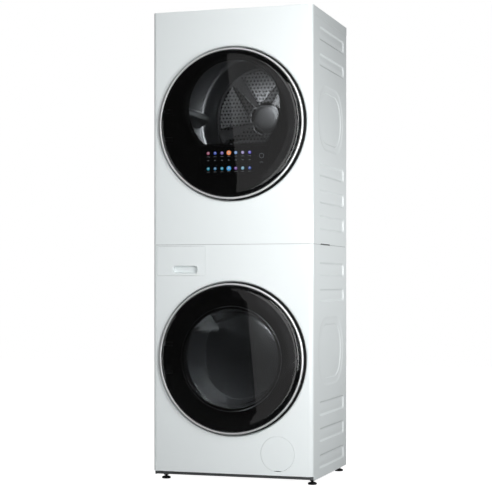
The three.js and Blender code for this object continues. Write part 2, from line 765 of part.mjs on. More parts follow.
function addCabinet() {
  place(stack, 'base_tray', baseTray(), darkPlastic);
  place(stack, 'stacking_frame', stackingFrame(), darkPlastic);
  place(stack, 'top_cover', topCover(), whitePaint);
  place(stack, 'washer_front_panel', washerFrontPanel(), whitePaint);
  place(stack, 'dryer_front_panel', dryerFrontPanel(), whitePaint);
  [['left', -1], ['right', 1]].forEach(([word, side]) => {
    const washerSide = sidePanel(side, SIDE_FOOT_Z, SPLIT_Z - GAP, WASHER_RIBS, WASHER_OVAL);
    const dryerSide = sidePanel(side, SPLIT_Z + GAP, COVER_Z - GAP, DRYER_RIBS, DRYER_OVAL);
    place(stack, `washer_${word}_side`, washerSide, whitePaint);
    place(stack, `dryer_${word}_side`, dryerSide, whitePaint);
  });
  const washerBack = backPanel({
    z0: SIDE_FOOT_Z, z1: SPLIT_Z - GAP, roundZ: WASHER_DOOR_Z, roundR: 175, vents: [700, 720, 740],
    holes: [{ x: 250, z: 829, r: 11 }, { x: -240, z: 780, r: 9.6 }],
  });
  const dryerBack = backPanel({
    z0: SPLIT_Z + GAP, z1: COVER_Z - GAP, roundZ: DRYER_DRUM_Z, roundR: 200,
    vents: [900, 920, 940, 960, 980, 1000], holes: [],
  });
  place(stack, 'washer_back_panel', washerBack, whitePaint);
  place(stack, 'dryer_back_panel', dryerBack, whitePaint);
  footPlaces().forEach(({ name, x, y }) => {
    const mesh = place(stack, name, foot(), blackPlastic);
    mesh.position.set(x, y, 0);
  });
}

function addDoor(machine, centreZ, frame, inner) {
  const door = new THREE.Group();
  door.position.z = centreZ;
  stack.add(door);
  place(door, `${machine}_door_glass`, glassDisc(), doorGlass);
  place(door, `${machine}_door_ring`, doorRing(), brightMetal);
  place(door, `${machine}_door_frame`, frame, blackPlastic);
  place(door, inner.name, inner.solid, inner.material);
  place(door, `${machine}_hinge_bracket`, hingeBracket(), castMetal);
}

function addWasherInsides() {
  place(stack, 'washer_tub', washerTub(), palePlastic);
  place(stack, 'tub_counterweight', counterweight(), concrete);
  place(stack, 'door_gasket', doorGasket(), rubber);
  place(stack, 'suspension_spring_left', tubSpring(-217), springSteel);
  place(stack, 'suspension_spring_right', tubSpring(217), springSteel);
  place(stack, 'damper_left', damper(-1), darkPlastic);
  place(stack, 'damper_right', damper(1), darkPlastic);
  place(stack, 'washer_motor', washerMotor(), castMetal);
  const drumWheel = { x: 0, z: WASHER_DOOR_Z, r: PULLEY_R };
  const motorWheel = { ...MOTOR_AT, r: MOTOR_PULLEY_R };
  place(stack, 'drive_belt', belt(drumWheel, motorWheel, BELT_Y, BELT_W), beltRubber);
  const pulley = place(stack, 'motor_pulley', motorPulley(), castMetal);
  pulley.position.set(MOTOR_AT.x, 0, MOTOR_AT.z);
  place(stack, 'drain_pump', drainPump(), palePlastic);
  const filter = place(stack, 'drain_filter', drainFilter(), darkPlastic);
  filter.position.set(FILTER_AT.x, 0, FILTER_AT.z);
  place(stack, 'filter_cover', filterCover(), whitePaint);
  place(stack, 'inlet_valve', inletValve(), palePlastic);
  place(stack, 'cord_gland', cordGland(), darkPlastic);
  place(stack, 'dispenser_box', dispenserBox(), palePlastic);
  place(stack, 'drawer_front', drawerFront(), whitePaint);
  place(stack, 'drawer_tray', drawerTray(), palePlastic);
  const drum = new THREE.Group();
  drum.position.z = WASHER_DOOR_Z;
  stack.add(drum);
  place(drum, 'washer_drum', washerDrum(), drumSteel);
  place(drum, 'drum_spider', drumSpider(), castMetal);
  place(drum, 'drum_pulley', drumPulley(), castMetal);
  [0, 1, 2].forEach((i) => {
    const rib = place(drum, `washer_paddle_${i + 1}`, liftingRib(234, 44, 26, 112, 345), palePlastic);
    rib.rotation.y = (i * 2 * Math.PI) / 3 + Math.PI / 3;
  });
}

function addDryerInsides() {
  place(stack, 'dryer_bulkhead', dryerBulkhead(), palePlastic);
  place(stack, 'lint_filter', lintFilter(), palePlastic);
  place(stack, 'compressor', compressor(), beltRubber);
  place(stack, 'heat_exchanger', heatExchanger(), castMetal);
  place(stack, 'dryer_motor', dryerMotor(), castMetal);
  const drumWheel = { x: 0, z: DRYER_DRUM_Z, r: DRYER_DRUM_R };
  const motorWheel = { ...DRYER_MOTOR_AT, r: DRYER_PULLEY_R };
  place(stack, 'dryer_belt', belt(drumWheel, motorWheel, DRYER_BELT_Y, 10), beltRubber);
  const drum = new THREE.Group();
  drum.position.z = DRYER_DRUM_Z;
  stack.add(drum);
  place(drum, 'dryer_drum', dryerDrum(), drumSteel);
  place(drum, 'dryer_drum_back', dryerDrumBack(), drumSteel);
  [0, 1, 2].forEach((i) => {
    const rib = place(drum, `dryer_lifter_${i + 1}`, liftingRib(264, 50, 34, 92, 400), drumSteel);
    rib.rotation.y = (i * 2 * Math.PI) / 3 + Math.PI / 6;
  });
}

addCabinet();
addDoor('washer', WASHER_DOOR_Z, washerDoorFrame(), {
  name: 'washer_door_bowl', solid: washerDoorBowl(), material: clearGlass,
});
addDoor('dryer', DRYER_DOOR_Z, dryerDoorFrame(), {
  name: 'dryer_display', solid: displayPanel(), material: displayPlastic,
});
addWasherInsides();
addDryerInsides();

export default stack;
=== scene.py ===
"""Visible surfaces of a stacked washer and dryer, modelled round their fixed frame."""

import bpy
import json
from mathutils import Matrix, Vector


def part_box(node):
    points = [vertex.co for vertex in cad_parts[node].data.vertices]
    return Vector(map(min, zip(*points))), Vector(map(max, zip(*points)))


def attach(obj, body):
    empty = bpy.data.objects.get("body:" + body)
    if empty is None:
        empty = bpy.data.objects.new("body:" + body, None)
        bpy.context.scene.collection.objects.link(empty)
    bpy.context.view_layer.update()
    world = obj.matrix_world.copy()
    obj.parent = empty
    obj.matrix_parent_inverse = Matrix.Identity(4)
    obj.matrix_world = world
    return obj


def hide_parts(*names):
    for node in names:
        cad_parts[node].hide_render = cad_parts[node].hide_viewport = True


bl_info = {
    "name": "Washer Dryer Stack",
    "version": (1, 0, 0),
    "blender": (4, 5, 0),
    "location": "View3D > Sidebar > Laundry",
    "description": "Builds the panels, doors, drums and controls of a stacked washer and dryer",
    "category": "Object",
}

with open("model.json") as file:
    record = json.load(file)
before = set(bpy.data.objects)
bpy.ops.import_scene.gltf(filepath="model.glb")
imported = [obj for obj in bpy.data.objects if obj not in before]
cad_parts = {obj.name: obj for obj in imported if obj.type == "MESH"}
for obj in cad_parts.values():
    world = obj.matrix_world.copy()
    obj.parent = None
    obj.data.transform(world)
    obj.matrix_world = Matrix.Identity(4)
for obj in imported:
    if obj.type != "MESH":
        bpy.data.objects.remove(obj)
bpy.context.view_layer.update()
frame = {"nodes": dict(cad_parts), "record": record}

import json
import math

import bmesh
import bpy
from mathutils import Vector

MM = 0.001
EPS = 1e-5
QUARTER = math.pi / 2


def node_box(node):
    """Lowest and highest corner of a frame node as vectors."""
    low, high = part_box(node)
    return Vector(low), Vector(high)


def node_middle(node):
    low, high = node_box(node)
    return (low + high) / 2


# ---- places read from the frame ----
FRONT = node_box("washer_front_panel")[0].y
HALF = node_box("washer_front_panel")[1].x - 0.02 * MM
WASHER_DOOR = node_middle("washer_door_glass")
DRYER_DOOR = node_middle("dryer_door_glass")
WASHER_DRUM = node_middle("washer_drum")
DRYER_DRUM = node_middle("dryer_drum")


def lengths(name, description, default, low=0.0):
    """A length property in metres."""
    return bpy.props.FloatProperty(
        name=name, description=description, default=default, min=low, unit="LENGTH", precision=4
    )


def colour(name, description, default):
    return bpy.props.FloatVectorProperty(
        name=name, description=description, default=default, size=3, subtype="COLOR",
        min=0.0, max=1.0,
    )


class StackSizes(bpy.types.PropertyGroup):
    """Sizes that a user would change."""

    sheet: lengths("Sheet", "Thickness of the folded steel panels", 1.2 * MM)
    corner: lengths("Corner", "Radius of the front panels' upright edges", 14 * MM)
    recess_edge: lengths("Recess edge", "Radius where the door recess rolls into the panel", 281 * MM)
    recess_wall: lengths("Recess wall", "Radius of the recess that a door closes into", 274.6 * MM)
    recess_depth: lengths("Recess depth", "How deep the recess floor lies", 20.5 * MM)
    glass_flat: lengths("Glass flat", "Radius of the flat middle of a door's glass", 214 * MM)
    steps: bpy.props.IntProperty(
        name="Round steps", description="Segments round each door and drum", default=128, min=32
    )


class StackColours(bpy.types.PropertyGroup):
    """Colours that a user would change."""

    enamel: colour("Enamel", "Colour of the painted panels", (0.80, 0.845, 0.85))
    fascia: colour("Fascia", "Colour of the white mouldings", (0.79, 0.835, 0.84))
    glass: colour("Glass", "Tint of the door glass", (0.16, 0.165, 0.17))
    ring: colour("Ring", "Colour of the bright door rings", (0.93, 0.935, 0.94))
    drum: colour("Drum", "Colour of the drum steel", (0.5, 0.51, 0.52))
    rubber: colour("Rubber", "Colour of the door seal", (0.12, 0.122, 0.125))


def sizes():
    return bpy.context.scene.stack_sizes


def colours():
    return bpy.context.scene.stack_colours


# ---- node groups and materials ----
def shader_node(tree, kind, **values):
    """Add a shader node and set its plain values; a key with spaces is an input socket."""
    made = tree.nodes.new(kind)
    for key, value in values.items():
        if hasattr(made, key):
            setattr(made, key, value)
        else:
            made.inputs[key.replace("_", " ")].default_value = value
    return made


def group_tree(name, inputs, outputs):
    """A shader node group with named sockets. inputs and outputs map a name to (type, default)."""
    tree = bpy.data.node_groups.new(name, "ShaderNodeTree")
    for label, (kind, default) in inputs.items():
        socket = tree.interface.new_socket(name=label, in_out="INPUT", socket_type=kind)
        socket.default_value = default
    for label, kind in outputs.items():
        tree.interface.new_socket(name=label, in_out="OUTPUT", socket_type=kind)
    return tree, tree.nodes.new("NodeGroupInput"), tree.nodes.new("NodeGroupOutput")


COLOR = "NodeSocketColor"
FLOAT = "NodeSocketFloat"
WHITE = (1.0, 1.0, 1.0, 1.0)


def make_surface_group():
    """Faint colour drift, uneven polish and fine relief, for paint, mouldings and castings."""
    tree, source, result = group_tree(
        "Fine Surface",
        {
            "Colour": (COLOR, WHITE), "Shade": (COLOR, WHITE), "Drift Scale": (FLOAT, 6.0),
            "Grain Scale": (FLOAT, 900.0), "Roughness": (FLOAT, 0.4), "Spread": (FLOAT, 0.05),
        },
        {"Colour": COLOR, "Roughness": FLOAT, "Height": FLOAT},
    )
    link = tree.links.new
    place = tree.nodes.new("ShaderNodeTexCoord")
    drift = shader_node(tree, "ShaderNodeTexNoise", Detail=3.0, Roughness=0.55)
    grain = shader_node(tree, "ShaderNodeTexNoise", Detail=2.0, Roughness=0.5)
    link(place.outputs["Object"], drift.inputs["Vector"])
    link(place.outputs["Object"], grain.inputs["Vector"])
    link(source.outputs["Drift Scale"], drift.inputs["Scale"])
    link(source.outputs["Grain Scale"], grain.inputs["Scale"])
    blend = shader_node(tree, "ShaderNodeMix", data_type="RGBA")
    link(drift.outputs["Fac"], blend.inputs["Factor"])
    link(source.outputs["Colour"], blend.inputs["A"])
    link(source.outputs["Shade"], blend.inputs["B"])
    link(blend.outputs["Result"], result.inputs["Colour"])
    centred = shader_node(tree, "ShaderNodeMath", operation="SUBTRACT")
    centred.inputs[1].default_value = 0.5
    link(drift.outputs["Fac"], centred.inputs[0])
    spread = shader_node(tree, "ShaderNodeMath", operation="MULTIPLY_ADD")
    link(centred.outputs["Value"], spread.inputs[0])
    link(source.outputs["Spread"], spread.inputs[1])
    link(source.outputs["Roughness"], spread.inputs[2])
    link(spread.outputs["Value"], result.inputs["Roughness"])
    link(grain.outputs["Fac"], result.inputs["Height"])
    return tree


def make_brushing_group():
    """Fine streaks round an axis along Y, as on rolled and spun steel."""
    tree, source, result = group_tree(
        "Spun Streaks",
        {"Density": (FLOAT, 260.0), "Dark": (COLOR, WHITE), "Light": (COLOR, WHITE)},
        {"Colour": COLOR, "Mask": FLOAT},
    )
    link = tree.links.new
    place = tree.nodes.new("ShaderNodeTexCoord")
    squeeze = shader_node(tree, "ShaderNodeMapping")
    squeeze.inputs["Scale"].default_value = (0.06, 1.0, 0.06)
    streak = shader_node(tree, "ShaderNodeTexNoise", Detail=4.0, Roughness=0.7)
    link(place.outputs["Object"], squeeze.inputs["Vector"])
    link(squeeze.outputs["Vector"], streak.inputs["Vector"])
    link(source.outputs["Density"], streak.inputs["Scale"])
    blend = shader_node(tree, "ShaderNodeMix", data_type="RGBA")
    link(streak.outputs["Fac"], blend.inputs["Factor"])
    link(source.outputs["Dark"], blend.inputs["A"])
    link(source.outputs["Light"], blend.inputs["B"])
    link(blend.outputs["Result"], result.inputs["Colour"])
    link(streak.outputs["Fac"], result.inputs["Mask"])
    return tree


def make_perforation_group():
    """Rows of round holes on a flat sheet or a drum wall: Mask is 1 in a hole, else 0."""
    tree, source, result = group_tree(
        "Perforation",
        {"Across": (FLOAT, 0.0), "Along": (FLOAT, 0.0), "Pitch": (FLOAT, 8 * MM), "Hole": (FLOAT, 0.3)},
        {"Mask": FLOAT},
    )
    link = tree.links.new

    def math_node(operation, first, second=None):
        made = shader_node(tree, "ShaderNodeMath", operation=operation)
        for slot_number, value in enumerate((first, second)):
            if value is None:
                continue
            if isinstance(value, (int, float)):
                made.inputs[slot_number].default_value = value
            else:
                link(value, made.inputs[slot_number])
        return made.outputs["Value"]

    row = math_node("DIVIDE", source.outputs["Along"], source.outputs["Pitch"])
    column = math_node("DIVIDE", source.outputs["Across"], source.outputs["Pitch"])
    odd = math_node("MODULO", math_node("ABSOLUTE", math_node("FLOOR", row)), 2.0)
    shifted = math_node("ADD", column, math_node("MULTIPLY", odd, 0.5))
    u = math_node("SUBTRACT", math_node("FRACT", shifted), 0.5)
    v = math_node("SUBTRACT", math_node("FRACT", row), 0.5)
    reach = math_node("SQRT", math_node("ADD", math_node("MULTIPLY", u, u), math_node("MULTIPLY", v, v)))
    inside = math_node("LESS_THAN", reach, source.outputs["Hole"])
    link(inside, result.inputs["Mask"])
    return tree


def principled(name, **values):
    """A new material with one Principled shader whose plain sockets are set by name."""
    material = bpy.data.materials.new(name)
    material.use_nodes = True
    tree = material.node_tree
    tree.nodes.clear()
    shader = tree.nodes.new("ShaderNodeBsdfPrincipled")
    output = tree.nodes.new("ShaderNodeOutputMaterial")
    tree.links.new(shader.outputs["BSDF"], output.inputs["Surface"])
    for label, value in values.items():
        shader.inputs[label.replace("_", " ")].default_value = value
    return material, tree, shader


def add_group(tree, name, **values):
    placed = tree.nodes.new("ShaderNodeGroup")
    placed.node_tree = bpy.data.node_groups[name]
    for label, value in values.items():
        placed.inputs[label.replace("_", " ")].default_value = value
    return placed


def shaded(rgb, factor):
    return (*(channel * factor for channel in rgb), 1.0)


def surfaced(name, rgb, roughness, drift=0.94, scale=6.0, grain=900.0, relief=0.05, spread=0.08, **values):
    """A material whose colour, polish and relief come from the Fine Surface group."""
    material, tree, shader = principled(name, **values)
    surface = add_group(
        tree, "Fine Surface", Colour=shaded(rgb, 1.0), Shade=shaded(rgb, drift),
        Drift_Scale=scale, Grain_Scale=grain, Roughness=roughness, Spread=spread,
    )
    bump = shader_node(tree, "ShaderNodeBump", Strength=relief, Distance=0.2 * MM)
    link = tree.links.new
    link(surface.outputs["Colour"], shader.inputs["Base Color"])
    link(surface.outputs["Roughness"], shader.inputs["Roughness"])
    link(surface.outputs["Height"], bump.inputs["Height"])
    link(bump.outputs["Normal"], shader.inputs["Normal"])
    return material


def spun_metal(name, rgb, roughness, perforated=None):
    """Brushed steel. perforated is None, "plate" for a flat rear plate or "wall" for a drum wall."""
    material, tree, shader = principled(name, Metallic=1.0, Roughness=roughness)
    link = tree.links.new
    streaks = add_group(tree, "Spun Streaks", Dark=shaded(rgb, 0.82), Light=shaded(rgb, 1.12))
    bump = shader_node(tree, "ShaderNodeBump", Strength=0.12, Distance=0.3 * MM)
    link(bump.outputs["Normal"], shader.inputs["Normal"])
    if perforated is None:
        link(streaks.outputs["Colour"], shader.inputs["Base Color"])
        link(streaks.outputs["Mask"], bump.inputs["Height"])
        return material
    place = tree.nodes.new("ShaderNodeTexCoord")
    axis = WASHER_DRUM if perforated == "wall" else DRYER_DRUM
    centre = shader_node(tree, "ShaderNodeMapping")
    centre.inputs["Location"].default_value = (-axis.x, 0.0, -axis.z)
    split = tree.nodes.new("ShaderNodeSeparateXYZ")
    link(place.outputs["Object"], centre.inputs["Vector"])
    link(centre.outputs["Vector"], split.inputs["Vector"])
    holes = add_group(tree, "Perforation", Pitch=14 * MM, Hole=0.27)
    if perforated == "wall":
        angle = shader_node(tree, "ShaderNodeMath", operation="ARCTAN2")
        link(split.outputs["X"], angle.inputs[0])
        link(split.outputs["Z"], angle.inputs[1])
        around = shader_node(tree, "ShaderNodeMath", operation="MULTIPLY")
        around.inputs[1].default_value = 238 * MM
        link(angle.outputs["Value"], around.inputs[0])
        link(around.outputs["Value"], holes.inputs["Across"])
        link(split.outputs["Y"], holes.inputs["Along"])
        holes.inputs["Pitch"].default_value = 16 * MM
        holes.inputs["Hole"].default_value = 0.16
    else:
        link(split.outputs["X"], holes.inputs["Across"])
        link(split.outputs["Z"], holes.inputs["Along"])
    dark = shader_node(tree, "ShaderNodeMix", data_type="RGBA")
    dark.inputs["B"].default_value = (0.004, 0.004, 0.004, 1.0)
    link(holes.outputs["Mask"], dark.inputs["Factor"])
    link(streaks.outputs["Colour"], dark.inputs["A"])
    link(dark.outputs["Result"], shader.inputs["Base Color"])
    sunk = shader_node(tree, "ShaderNodeMath", operation="SUBTRACT")
    sunk.inputs[0].default_value = 1.0
    link(holes.outputs["Mask"], sunk.inputs[1])
    link(sunk.outputs["Value"], bump.inputs["Height"])
    return material


def glass(name, rgb, roughness=0.0):
    """Tinted clear glass whose tint drifts faintly."""
    material, tree, shader = principled(name, Transmission_Weight=1.0, IOR=1.45, Roughness=roughness)
    surface = add_group(
        tree, "Fine Surface", Colour=shaded(rgb, 1.0), Shade=shaded(rgb, 0.9),
        Drift_Scale=9.0, Grain_Scale=40.0, Roughness=0.0, Spread=0.0,
    )
    tree.links.new(surface.outputs["Colour"], shader.inputs["Base Color"])
    return material


def glowing(name, rgb, strength):
    """A lit symbol whose glow falls off a little in patches."""
    material, tree, shader = principled(name, Roughness=0.4)
    surface = add_group(
        tree, "Fine Surface", Colour=shaded(rgb, 1.0), Shade=shaded(rgb, 0.72),
        Drift_Scale=160.0, Grain_Scale=900.0, Roughness=0.4, Spread=0.05,
    )
    link = tree.links.new
    link(surface.outputs["Colour"], shader.inputs["Base Color"])
    link(surface.outputs["Colour"], shader.inputs["Emission Color"])
    shader.inputs["Emission Strength"].default_value = strength
    return material


def make_materials():
    """One finished material for each slot of the record, kept by slot name."""
    tint = colours()
    made = {
        "white_paint": surfaced(
            "white enamel", tint.enamel, 0.34, drift=0.975, scale=3.0, grain=1400.0, relief=0.06,
            Coat_Weight=0.25, Coat_Roughness=0.12,
        ),
        "white_plastic": surfaced("white fascia", tint.fascia, 0.42, drift=0.97, grain=2600.0, relief=0.12),
        "pale_plastic": surfaced("pale moulding", (0.55, 0.57, 0.58), 0.45, grain=2200.0, relief=0.15),
        "dark_plastic": surfaced("dark moulding", (0.08, 0.083, 0.087), 0.5, grain=2400.0, relief=0.2),
        "black_plastic": surfaced("black moulding", (0.006, 0.006, 0.0065), 0.38, grain=2000.0, relief=0.1),
        "display": surfaced("black display", (0.004, 0.004, 0.0045), 0.25, grain=1500.0, relief=0.03),
        "bright_ring": surfaced(
            "satin bright ring", tint.ring, 0.42, drift=0.93, scale=14.0, grain=3000.0, relief=0.08,
            Metallic=1.0,
        ),
        "cast_aluminium": surfaced(
            "cast aluminium", (0.42, 0.43, 0.44), 0.5, drift=0.8, scale=30.0, grain=1500.0, relief=0.4,
            Metallic=1.0,
        ),
        "spring_steel": surfaced(
            "spring steel", (0.3, 0.31, 0.32), 0.35, drift=0.85, scale=60.0, grain=2600.0, Metallic=1.0,
        ),
        "concrete": surfaced(
            "cast concrete", (0.34, 0.34, 0.32), 0.9, drift=0.7, scale=40.0, grain=600.0, relief=0.8,
        ),
        "grey_rubber": surfaced("door seal rubber", tint.rubber, 0.6, drift=0.85, grain=1800.0, relief=0.2),
        "black_rubber": surfaced(
            "black rubber", (0.012, 0.012, 0.0125), 0.75, drift=0.8, grain=1600.0, relief=0.35,
        ),
        "black_paint": surfaced("black shell paint", (0.015, 0.015, 0.016), 0.4, grain=1200.0, relief=0.2),
        "smoked_glass": glass("smoked door glass", tint.glass),
        "clear_glass": glass("moulded clear bowl", (0.9, 0.92, 0.92), 0.02),
        "drum_steel": spun_metal("drum steel", tint.drum, 0.3),
        "perforated_wall": spun_metal("perforated drum wall", tint.drum, 0.3, "wall"),
        "plate_steel": spun_metal("rear plate steel", shaded(tint.drum, 0.7)[:3], 0.55),
        "perforated_plate": spun_metal("perforated rear plate", shaded(tint.drum, 0.7)[:3], 0.6, "plate"),
    }
    return made


MATERIALS = {}


# ---- modelling steps ----
def start(name):
    """An empty mesh at the origin, open in edit mode."""
    bpy.ops.object.select_all(action="DESELECT")
    bpy.ops.object.add(type="MESH", location=(0, 0, 0))
    piece = bpy.context.object
    piece.name = name
    piece.data.name = name
    bpy.ops.object.mode_set(mode="EDIT")
    return piece


def pick(piece, kind, test):
    """In edit mode, select just the vertices, edges or faces for which the test holds."""
    bpy.ops.mesh.select_mode(type=kind)
    bpy.ops.mesh.select_all(action="DESELECT")
    mesh = bmesh.from_edit_mesh(piece.data)
    parts = {"VERT": mesh.verts, "EDGE": mesh.edges, "FACE": mesh.faces}[kind]
    parts.index_update()
    for part in parts:
        if test(part):
            part.select_set(True)
    if kind == "VERT":
        mesh.select_flush_mode()
    bmesh.update_edit_mesh(piece.data)


def picked_points(piece):
    """The numbers of the vertices that are selected in edit mode."""
    mesh = bmesh.from_edit_mesh(piece.data)
    mesh.verts.index_update()
    return {vertex.index for vertex in mesh.verts if vertex.select}


def both_ends(test):
    """An edge test that asks the same of both its ends."""
    return lambda edge: all(test(vertex.co) for vertex in edge.verts)


def close(piece, outwards=None):
    """Leave edit mode with doubles merged and normals pointing out, or along outwards."""
    bpy.ops.mesh.select_mode(type="VERT")
    bpy.ops.mesh.select_all(action="SELECT")
    bpy.ops.mesh.remove_doubles(threshold=EPS)
    bpy.ops.mesh.normals_make_consistent(inside=False)
    bpy.ops.object.mode_set(mode="OBJECT")
    if outwards is not None:
        facing = sum((face.normal * face.area for face in piece.data.polygons), Vector())
        if facing.dot(Vector(outwards)) < 0:
            bpy.ops.object.mode_set(mode="EDIT")
            bpy.ops.mesh.select_all(action="SELECT")
            bpy.ops.mesh.flip_normals()
            bpy.ops.object.mode_set(mode="OBJECT")
    return piece


def activate(piece):
    bpy.ops.object.select_all(action="DESELECT")
    piece.select_set(True)
    bpy.context.view_layer.objects.active = piece


def modifier(piece, kind, **values):
    """Add a modifier, set it and apply it."""
    activate(piece)
    made = piece.modifiers.new(kind.lower(), kind)
    for label, value in values.items():
        setattr(made, label, value)
    bpy.ops.object.modifier_apply(modifier=made.name)
    return piece


def thicken(piece, thickness):
    return modifier(piece, "SOLIDIFY", thickness=thickness, offset=-1.0, use_even_offset=True)


def soften(piece, width):
    """Round the sharp edges a little."""
    return modifier(
        piece, "BEVEL", width=width, segments=2, limit_method="ANGLE",
        angle_limit=math.radians(35), use_clamp_overlap=True,
    )


def smooth(piece, angle=35.0):
    activate(piece)
    bpy.ops.object.shade_smooth_by_angle(angle=math.radians(angle), keep_sharp_edges=True)
    return piece


def even_shading(piece, angle=35.0):
    """Smooth shading that leaves large flat faces flat."""
    smooth(piece, angle)
    return modifier(piece, "WEIGHTED_NORMAL", keep_sharp=True, weight=90)


def cut_away(piece, tool):
    """Cut the tool's shape out of the piece and remove the tool."""
    modifier(piece, "BOOLEAN", operation="DIFFERENCE", object=tool, solver="EXACT")
    bpy.data.objects.remove(tool, do_unlink=True)
    return piece


def join(piece, *others):
    activate(piece)
    for other in others:
        other.select_set(True)
    bpy.ops.object.join()
    return piece


def ring_of_points(centre, radius, y, steps, turn=0.0):
    bpy.ops.mesh.primitive_circle_add(
        vertices=steps, radius=radius, fill_type="NOTHING",
        location=(centre[0], y, centre[1]), rotation=(QUARTER, turn, 0),
    )


def raise_rings(centre, path, y):
    """Extrude the selected ring along (scale across, scale up, y) steps about a centre (x, z)."""
    wide, tall = 1.0, 1.0
    for across, up, next_y in path:
        bpy.ops.mesh.extrude_region_move(TRANSFORM_OT_translate={"value": (0, next_y - y, 0)})
        bpy.ops.transform.resize(
            value=(across / wide, 1, up / tall), center_override=(centre[0], next_y, centre[1])
        )
        wide, tall, y = across, up, next_y


def turned(name, centre, profile, loop=False, steps=None):
    """A body of revolution about the Y line through centre (x, z); profile is [(radius, y)]."""
    piece = start(name)
    radius, y = profile[0]
    ring_of_points(centre, radius, y, steps or sizes().steps)
    rest = profile[1:] + ([profile[0]] if loop else [])
    raise_rings(centre, [(r / radius, r / radius, ry) for r, ry in rest], y)
    bpy.ops.mesh.select_all(action="SELECT")
    bpy.ops.mesh.remove_doubles(threshold=EPS)
    if not loop:
        bpy.ops.mesh.fill_holes(sides=0)
    return close(piece)


def arc(centre_r, centre_y, radius, start_deg, end_deg, count):
    """Points of a round corner in a (radius, y) profile."""
    angles = [math.radians(start_deg + (end_deg - start_deg) * i / count) for i in range(count + 1)]
    return [(centre_r + radius * math.cos(a), centre_y + radius * math.sin(a)) for a in angles]


def front_y(depth_mm):
    """The place of a depth behind the front panels' plane."""
    return FRONT + depth_mm * MM


def mm_profile(points):
    """A profile in millimetres, with y counted from the front plane, in frame metres."""
    return [(r * MM, front_y(y)) for r, y in points]


def fill_level(piece, y):
    """Make the flat sheet that lies at y between the loops that are there."""
    pick(piece, "EDGE", both_ends(lambda place: abs(place.y - y) < EPS))
    bpy.ops.mesh.fill(use_beauty=True)


def slot_ring(piece, box, corner, y, quarter_steps=6):
    """A rectangle's outline with round corners, box = (x0, x1, z0, z1). Returns its middle and size."""
    x0, x1, z0, z1 = box
    x, z = (x0 + x1) / 2, (z0 + z1) / 2
    width, height = x1 - x0, z1 - z0
    steps = quarter_steps * 4
    ring_of_points((x, z), corner, y, steps, turn=math.pi / steps)
    ring = picked_points(piece)
    for across in (-1, 1):
        pick(piece, "VERT", lambda vertex: vertex.index in ring and (vertex.co.x - x) * across > 0)
        bpy.ops.transform.translate(value=(across * (width / 2 - corner), 0, 0))
    for up in (-1, 1):
        pick(piece, "VERT", lambda vertex: vertex.index in ring and (vertex.co.z - z) * up > 0)
        bpy.ops.transform.translate(value=(0, 0, up * (height / 2 - corner)))
    pick(piece, "VERT", lambda vertex: vertex.index in ring)
    return (x, z), (width, height)


def press_slot(piece, box, corner, y, steps, floor=True, quarter_steps=6):
    """Press a round-cornered pocket into a sheet at y: steps are (inset, depth) in metres."""
    middle, (width, height) = slot_ring(piece, box, corner, y, quarter_steps)
    path = [((width - 2 * inset) / width, (height - 2 * inset) / height, y + depth) for inset, depth in steps]
    raise_rings(middle, path, y)
    if floor:
        bpy.ops.mesh.edge_face_add()


def press_round(centre, y, rings):
    """Press round steps into a sheet at y: rings are (radius, depth), the first at depth 0."""
    radius = rings[0][0]
    ring_of_points(centre, radius, y, sizes().steps)
    raise_rings(centre, [(r / radius, r / radius, y + depth) for r, depth in rings[1:]], y)


def outline(x0, x1, z0, z1, y):
    """A plain rectangle of four edges."""
    bpy.ops.mesh.primitive_plane_add(
        size=1.0, location=((x0 + x1) / 2, y, (z0 + z1) / 2), rotation=(QUARTER, 0, 0)
    )
    bpy.ops.transform.resize(
        value=(x1 - x0, 1, z1 - z0), center_override=((x0 + x1) / 2, y, (z0 + z1) / 2)
    )
    bpy.ops.mesh.delete(type="ONLY_FACE")


def settle(piece, turn=(0, 0, 0), move=(0, 0, 0)):
    """Turn and move a piece, then put its place into its mesh."""
    piece.rotation_euler = turn
    piece.location = move
    activate(piece)
    bpy.ops.object.transform_apply(location=True, rotation=True, scale=True)
    return piece


def copy_of(piece, name):
    """A copy with its own mesh."""
    activate(piece)
    bpy.ops.object.duplicate(linked=False)
    made = bpy.context.object
    made.name = name
    made.data.name = name
    return made


def set_of(model, names):
    """The model under the first name, and a copy of it for each further name."""
    copies = [copy_of(model, name) for name in names[1:]]
    model.name = names[0]
    model.data.name = names[0]
    return [model, *copies]


def mirrored(piece, outwards=None):
    """Mirror a piece from the right side to the left."""
    activate(piece)
    bpy.ops.object.mode_set(mode="EDIT")
    bpy.ops.mesh.select_all(action="SELECT")
    bpy.ops.transform.resize(value=(-1, 1, 1), center_override=(0, 0, 0))
    return close(piece, outwards)


def block(name, low, high, bevel=0.0, segments=3):
    """A box between two corners with rounded edges."""
    piece = start(name)
    low, high = Vector(low), Vector(high)
    bpy.ops.mesh.primitive_cube_add(size=1.0, location=(low + high) / 2)
    bpy.ops.transform.resize(value=high - low, center_override=(low + high) / 2)
    if bevel:
        bpy.ops.mesh.bevel(offset=bevel, segments=segments, affect="EDGES")
    return close(piece)


def dress(piece, body, slot_name, material, *nodes):
    """Give the piece its material and its body, and hide the frame nodes that it stands for."""
    piece.data.materials.clear()
    piece.data.materials.append(material)
    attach(piece, body)
    if nodes:
        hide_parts(*nodes)
    return piece


def present(piece, body, slot_name, *nodes, material=None):
    """Dress the piece in its slot's material, or in another that is named."""
    return dress(piece, body, slot_name, MATERIALS[material or slot_name], *nodes)


# ---- cabinet ----
def recess_rings():
    """Radius and depth of the rolled edge and wall of a door's recess."""
    size = sizes()
    roll = 7 * MM
    rings = []
    for i in range(9):
        turn = math.radians(80) * i / 8
        rings.append((size.recess_edge - roll * math.sin(turn), roll * (1 - math.cos(turn))))
    rings.append((size.recess_wall, size.recess_depth - 3 * MM))
    rings.append((size.recess_wall - 1 * MM, size.recess_depth - 0.9 * MM))
    rings.append((size.recess_wall - 3 * MM, size.recess_depth))
    return rings


